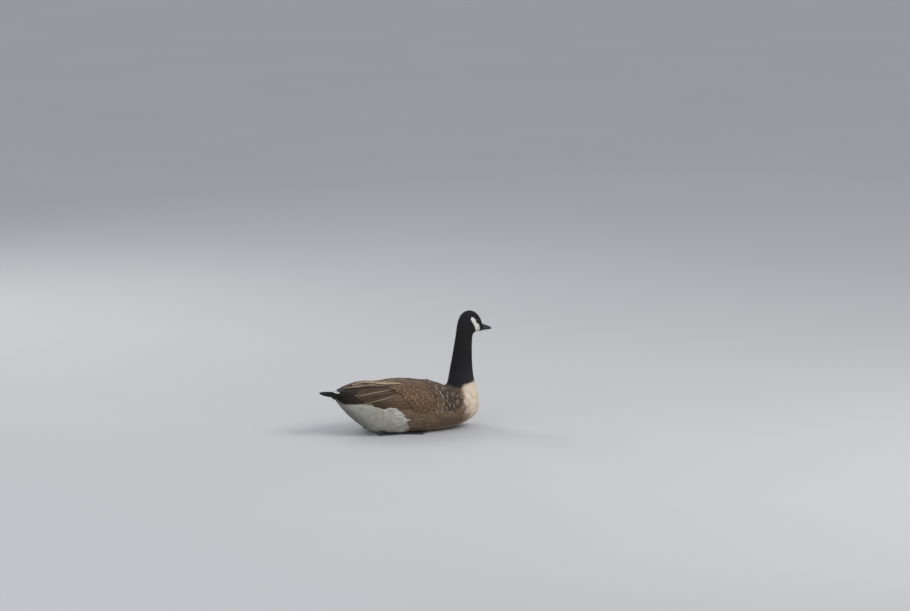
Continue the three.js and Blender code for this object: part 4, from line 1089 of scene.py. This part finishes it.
def build_bill(upper):
    """One half of the bill: a rounded shell over a flat side that faces the other half."""
    rows, across, flat = 150, 72, 6
    u = 1 - (1 - np.linspace(0, 1, rows)) ** 1.35
    if not upper:
        u = u * 0.95
    x, top, bottom, mouth, half, blunt = bill_frame(u)
    tall = ((top - mouth) if upper else (mouth - bottom)) - GAP / 2
    tall = tall * (0.45 + 0.55 * blunt)
    th = np.linspace(0, math.pi, across)
    lift = np.sin(th)[None] ** 0.8 * tall[:, None] + GAP / 2
    y = np.cos(th)[None] * half[:, None] * (1 if upper else 0.9)
    if upper:
        uu = u[:, None] + 0 * y
        share = lift / (tall[:, None] + GAP)
        nail = step(0.80, 0.86, uu) * step(0.30, 0.55, share)
        lift = lift + 0.55 * nail
        hole = ((uu - 0.43) / 0.085) ** 2 + ((share - 0.60) / 0.115) ** 2
        lift = lift - 0.1 * step(1.6, 0.8, hole)
        rim = step(0.9, 1.6, hole) * step(3.4, 1.8, hole)
        y = y * (1 - 0.17 * step(1.5, 0.3, hole)) * (1 + 0.03 * rim)
        groove = np.exp(-((share - 0.34) / 0.05) ** 2) * step(0.02, 0.2, uu) * step(0.86, 0.7, uu)
        y = y * (1 - 0.035 * groove)
        edge = step(0.12, 0.02, share)
        comb = 0.5 + 0.5 * np.sin(uu * BILL_LENGTH * 2 * math.pi / COMB_PITCH)
        lift = lift + edge * comb * 0.35 * step(0.08, 0.15, uu) * step(0.8, 0.7, uu)
    way = 1 if upper else -1
    w = np.linspace(-1, 1, flat + 2)[1:-1]
    parts = ((y, mouth[:, None] + way * lift), (y[:, :1] * w, mouth[:, None] + way * GAP / 2))
    p = np.concatenate([np.stack(np.broadcast_arrays(x[:, None], *part), -1) for part in parts], 1)
    name = "bill_upper" if upper else "bill_lower"
    mesh_piece("horn_" + name, turned(p, HEAD_YAW), ring_quads(rows, across + flat, upper), HORN,
               {}, grid_uv(rows, across + flat), (name,), crease=45)


# Eyes and lids
LID_RINGS = ((-0.06, 0.03), (-0.02, 0.30), (0.03, 0.46), (0.09, 0.48), (0.15, 0.36), (0.22, 0.30),
             (0.32, 0.12), (0.5, -0.5), (0.5, -1.8), (0.1, -1.0))  # angle past the opening, height


def eye_axes(side):
    out = EYE_OUT[side]
    ahead = np.cross(out, (0, 0, 1.0))
    ahead *= np.sign(ahead[0]) / np.linalg.norm(ahead)
    up = np.cross(ahead, out)
    up *= np.sign(up[2])
    return ahead, up, out


def build_eye(side):
    """The eyeball, and lids that hug it round a slanted almond opening and run into the face."""
    ahead, up, out = eye_axes(side)

    def on_ball(r, polar, spin):
        aside = np.cos(spin)[..., None] * ahead + np.sin(spin)[..., None] * up
        along = np.cos(polar)[..., None] * out + np.sin(polar)[..., None] * aside
        return EYES[side] + r[..., None] * along

    spin = np.linspace(0, 2 * math.pi, 48, endpoint=False)
    polar, spin = np.meshgrid(np.linspace(0.02, math.pi - 0.02, 40), spin, indexing="ij")
    r = EYE_RADIUS * (1 + 0.035 * np.exp(-(polar / 0.5) ** 2) - 0.012)
    disc = np.sin(polar) / math.sin(0.98) * np.where(polar < 1.4, 1, 3)
    place = np.stack([disc, np.cos(spin) * np.sin(polar), np.sin(spin) * np.sin(polar)], -1)
    uv = np.stack([0.5 + 0.48 * polar / math.pi * f(spin) for f in (np.cos, np.sin)], -1)
    mesh_piece(f"eyeball_{SIDES[side]}", on_ball(r, polar, spin), ring_quads(*r.shape, side > 0),
               EYE, {"place": place}, uv, (f"eye_{SIDES[side]}",), crease=None)

    spin = np.linspace(0, 2 * math.pi, 72, endpoint=False)
    slant = math.radians(-8)
    c, s = np.cos(spin - slant), np.sin(spin - slant)
    corners = 0.05 * np.maximum(c, 0) ** 6 + 0.04 * np.maximum(-c, 0) ** 6
    opening = 0.86 - 0.15 * np.abs(s) ** 1.5 + corners
    shift, over = np.array(LID_RINGS).T[..., None]
    r = EYE_RADIUS + over + 0.05 * np.sin(spin * 31 + shift * 30)
    p = on_ball(r, opening + shift, spin)
    rows, count = r.shape
    k, last = np.arange(count), (rows - 1) * count
    close = np.stack([last + k, last + (k + 1) % count, (k + 1) % count, k], -1)
    quads = np.vstack([ring_quads(rows, count)[:last], close])
    mesh_piece(f"lids_{SIDES[side]}", p, quads if side > 0 else quads[:, ::-1], LID,
               {}, grid_uv(rows, count), crease=None)


# Legs, each folded under the belly: heel, ankle and knee, three webbed toes and a small hind one
HEEL, ANKLE, KNEE = (np.array(p, float) for p in ((-118, 74, 5.2), (-36, 78, 4.6), (-78, 64, 34)))
TOES = ((72, -18), (88, 6), (74, 28))  # length and direction in degrees
KNUCKLES = ((0, 4.6), (0.1, 4.2), (0.3, 3.2), (0.36, 3.8), (0.44, 3.0), (0.62, 2.8), (0.68, 3.3),
            (0.76, 2.6), (0.94, 2.8), (1, 1.6))  # share of the toe's length, girth
WEB_BAY = 0.16
SCUTE_PITCH = 2.4
TUBE_SIDES = 20


def tube(path, girth, squash, ripple=0.0):
    """A closed tube through the points of path; its girth ripples like the scutes of a bird's leg."""
    path, girth = np.array(path, float), np.array(girth, float)
    long = np.concatenate([[0], np.cumsum(np.linalg.norm(np.diff(path, axis=0), axis=1))])
    s = np.linspace(0, long[-1], max(8, int(long[-1] / 0.6)))
    centre = np.stack([np.interp(s, long, path[:, k]) for k in range(3)], -1)
    r = np.interp(s, long, girth)
    along = np.gradient(centre, axis=0)
    along /= np.linalg.norm(along, axis=1)[:, None]
    aside = np.cross((0, 0, 1.0), along)
    aside /= np.linalg.norm(aside, axis=1)[:, None]
    up = np.cross(along, aside)
    a = np.linspace(0, 2 * math.pi, TUBE_SIDES, endpoint=False)
    scute = np.abs(np.sin(math.pi * s / SCUTE_PITCH))[:, None] ** 0.5 * np.clip(np.sin(a), 0, 1) ** 0.5
    r = r[:, None] * (1 - ripple + ripple * scute)
    around = np.cos(a)[:, None] * aside[:, None] + squash * np.sin(a)[:, None] * up[:, None]
    p = centre[:, None] + r[..., None] * around
    return p.reshape(-1, 3), ring_quads(len(s), TUBE_SIDES)


def web(tip0, tip1):
    """The web between two toes, which sags and wrinkles a little."""
    s, w = np.meshgrid(np.linspace(0.05, 1, 40), np.linspace(0, 1, 24), indexing="ij")
    reach = s * (1 - WEB_BAY * np.sin(math.pi * w) * s)
    between = (tip0 - ANKLE) * (1 - w[..., None]) + (tip1 - ANKLE) * w[..., None]
    p = ANKLE + reach[..., None] * between
    fold = 0.22 * np.sin(w * 31 + 3 * s) * np.sin(math.pi * w)
    top = 1.9 - 0.5 * np.sin(math.pi * w) + fold
    upper, lower = p.copy(), p[:, ::-1].copy()
    upper[..., 2], lower[..., 2] = top, top[:, ::-1] - 0.9
    both = np.concatenate([upper, lower], 1)
    return both.reshape(-1, 3), ring_quads(*both.shape[:2], True)


def build_leg(side):
    shank = (HEEL - (5, 0, 0), HEEL, HEEL + (12, 0, 0), ANKLE - (10, 0, 0), ANKLE + (5, 0, 0))
    parts = [tube((KNEE, (KNEE + HEEL) / 2 + (0, 0, 1), HEEL), (12, 9, 6.4), 0.95, 0.04),
             tube(shank, (3, 6.4, 5.6, 4.8, 5.4), 0.8, 0.07)]
    tips = []
    for reach, degrees in TOES:
        way = np.array([math.cos(math.radians(degrees)), math.sin(math.radians(degrees)), 0])
        at = lambda f: ANKLE * (1, 1, 0) + way * reach * f + (0, 0, 3.2 - 0.9 * f)
        tips.append(at(1))
        claw = [at(0.96) + (0, 0, 0.6), at(1) + way * 3, at(1) + way * 8 - (0, 0, 1.3)]
        parts.append(tube([at(f) for f, _ in KNUCKLES], [g for _, g in KNUCKLES], 0.8, 0.10))
        parts.append(tube(claw, (2.0, 1.7, 0.3), 1.0))
    parts += [web(tips[0], tips[1]), web(tips[1], tips[2])]
    hind = [HEEL * 0.12 + ANKLE * 0.88 + (0, -5, 0), ANKLE + (-14, -11, -1.6), ANKLE + (-17, -13, -2.4)]
    parts.append(tube(hind, (2.4, 1.9, 0.4), 1.0, 0.06))
    points, quads, count = [], [], 0
    for p, q in parts:
        points.append(p)
        quads.append(q + count)
        count += len(p)
    p = np.vstack(points) * (1, side, 1)
    p[:, 2] = np.maximum(p[:, 2], FLOOR_CLEAR)
    quads = np.vstack(quads)
    uv = (p - p.min(0)) / (p.max(0) - p.min(0)).max() * 0.98 + 0.01
    mesh_piece(f"foot_{SIDES[side]}", p, quads if side > 0 else quads[:, ::-1], LEG, {},
               uv[:, :2], (f"leg_{SIDES[side]}",), crease=None)


# Which roots each stretch of the coat keeps
def under_wing(t, a):
    """True where the folded wing hides the skin well."""
    p = skin_point(t, a)
    x, y, z = np.moveaxis(p, -1, 0)
    s = wing_station(x)
    level = s[..., 2] + np.where(x < -40, 13, 20)
    outside_edge = (np.abs(y) > s[..., 5] + 3) | (x < 20)
    return (x < 122 + 12 * wobble(p, 38)) & (x > -205) & (z > level) & outside_edge


def white_part(t, a):
    return marks(t, a)[3] > 0.5


def shoulder_part(t, a):
    """The feathers beside the neck's root, broader than the breast's."""
    return (from_top(a) < 1.75) & (skin_point(t, a)[..., 0] < 200)


def clear_of_tail(t, a):
    """False on the body's rear end, whose feathers would come up through the tail."""
    p = skin_point(t, a)
    return (p[..., 0] > -246) | (p[..., 2] < 128)


everywhere = lambda t, a: t > 0
clear_of_eyes = lambda t, a: from_eyes(skin_point(t, a)) > EYE_ROOM + 0.6
outside = lambda t, a: ~under_wing(t, a) & clear_of_tail(t, a)
white = lambda t, a: outside(t, a) & white_part(t, a)
brown = lambda t, a: outside(t, a) & ~white_part(t, a)
breast = lambda t, a: outside(t, a) & ~shoulder_part(t, a)
shoulder = lambda t, a: outside(t, a) & shoulder_part(t, a)

# Name, stretch of the outline, roots, vanes, slot, shape, seed and scale of the spacing
COATS = (
    ("face", (HEAD_ROOT + 5, LAST), clear_of_eyes, HAIRY, "black_plumage", (4.6, 0.46, 0.10, 8), 1),
    ("head", (HEAD_ROOT + 2, HEAD_ROOT + 5), clear_of_eyes, HAIRY, "black_plumage",
     (4.8, 0.46, 0.10, 8), 11),
    ("neck_1", (NECK_ROOT + 2, NECK_ROOT + 4.4), everywhere, HAIRY, "black_plumage",
     (5.2, 0.44, 0.10, 7), 2),
    ("neck_2", (NECK_ROOT + 4.4, HEAD_ROOT + 2), everywhere, HAIRY, "black_plumage",
     (5.2, 0.44, 0.10, 7), 22),
    ("collar", (NECK_ROOT - 2, NECK_ROOT + 2), everywhere, SLIM, "black_plumage",
     (4.2, 0.74, 0.10, 7), 3),
    ("breast", (9.5, NECK_ROOT - 2), breast, SOFT, "body_plumage", (3.8, 0.94, 0.08, 6), 4),
    ("shoulder", (9.5, NECK_ROOT - 2), shoulder, BLUNT, "body_plumage", (3.2, 0.95, 0.10, 6), 14, 2.1),
    ("flank", (3, 9.5), brown, BROAD, "body_plumage", (4.4, 0.95, 0.10, 6), 5),
    ("rump", (0, 3), brown, SOFT, "body_plumage", (4.2, 0.9, 0.08, 6), 6),
    ("vent_1", (0, 4.6), white, SOFT, "body_plumage", (4.8, 0.9, 0.06, 6), 7, 0.85),
    ("vent_2", (4.6, 9.5), white, SOFT, "body_plumage", (4.8, 0.9, 0.06, 6), 8, 0.85),
)

build_skin()
for name, *rest in COATS:
    coat(f"coat_{name}", *rest)
for side, seed in ((1, 70), (-1, 71)):
    wing_core(side)
    wing_feathers(side, seed)
    build_eye(side)
    build_leg(side)
back_feathers()
build_tail()
build_bill(True)
build_bill(False)


# Stage
def floor_material():
    n = Nodes("pale_floor")
    tone = n.mix(n.noise(0.8, 4), (0.47, 0.475, 0.49, 1), (0.51, 0.51, 0.525, 1))
    return n.set(Base_Color=tone, Roughness=0.8)


bpy.ops.mesh.primitive_plane_add(size=120, location=(0, 0, 0))
floor = bpy.context.object
floor.name = "floor"
floor.data.materials.append(floor_material())

AZIMUTH, ELEVATION = math.radians(-22), math.radians(11)
back = Vector((math.sin(AZIMUTH) * math.cos(ELEVATION), -math.cos(AZIMUTH) * math.cos(ELEVATION),
               math.sin(ELEVATION)))
right = Vector((math.cos(AZIMUTH), math.sin(AZIMUTH), 0))
up = back.cross(right)
FOCAL_PIXELS, WIDTH, HEIGHT = 4200, 910, 611
PIXELS_A_METRE = 283
ORIGIN_PIXEL = (402.6, 429.4)
SENSOR = 36  # width in millimetres
origin = Vector(SHIFT * MM)
eye = origin + back * FOCAL_PIXELS / PIXELS_A_METRE
target = (origin + right * (WIDTH / 2 - ORIGIN_PIXEL[0]) / PIXELS_A_METRE
          + up * (ORIGIN_PIXEL[1] - HEIGHT / 2) / PIXELS_A_METRE)
data = bpy.data.cameras.new("camera")
data.sensor_width = SENSOR
data.sensor_fit = "HORIZONTAL"
data.lens = FOCAL_PIXELS * SENSOR / WIDTH
data.clip_end = 400
camera = bpy.data.objects.new("camera", data)
bpy.context.scene.collection.objects.link(camera)
camera.location = eye
camera.rotation_euler = (target - eye).to_track_quat("-Z", "Y").to_euler()
bpy.context.scene.camera = camera

LIGHT_AIM = Vector((0, 0, 0.2))


def lamp(name, place, size, power, colour):
    light = bpy.data.lights.new(name, "AREA")
    light.energy = power
    light.size = size
    light.color = colour
    holder = bpy.data.objects.new(name, light)
    bpy.context.scene.collection.objects.link(holder)
    holder.location = place
    holder.rotation_euler = (LIGHT_AIM - Vector(place)).to_track_quat("-Z", "Y").to_euler()


lamp("key", (2.4, -2.6, 3.6), 2.6, 120, (1.0, 0.96, 0.9))
lamp("fill", (-3.6, -2.4, 2.2), 3.0, 34, (0.92, 0.96, 1.0))
lamp("rim", (-1.2, 3.6, 2.8), 2.2, 60, (1.0, 0.98, 0.95))
world = bpy.data.worlds.new("studio")
world.use_nodes = True
world.node_tree.nodes["Background"].inputs[0].default_value = (0.86, 0.9, 0.96, 1)
world.node_tree.nodes["Background"].inputs[1].default_value = 0.66
bpy.context.scene.world = world
bpy.context.scene.view_settings.view_transform = "Standard"
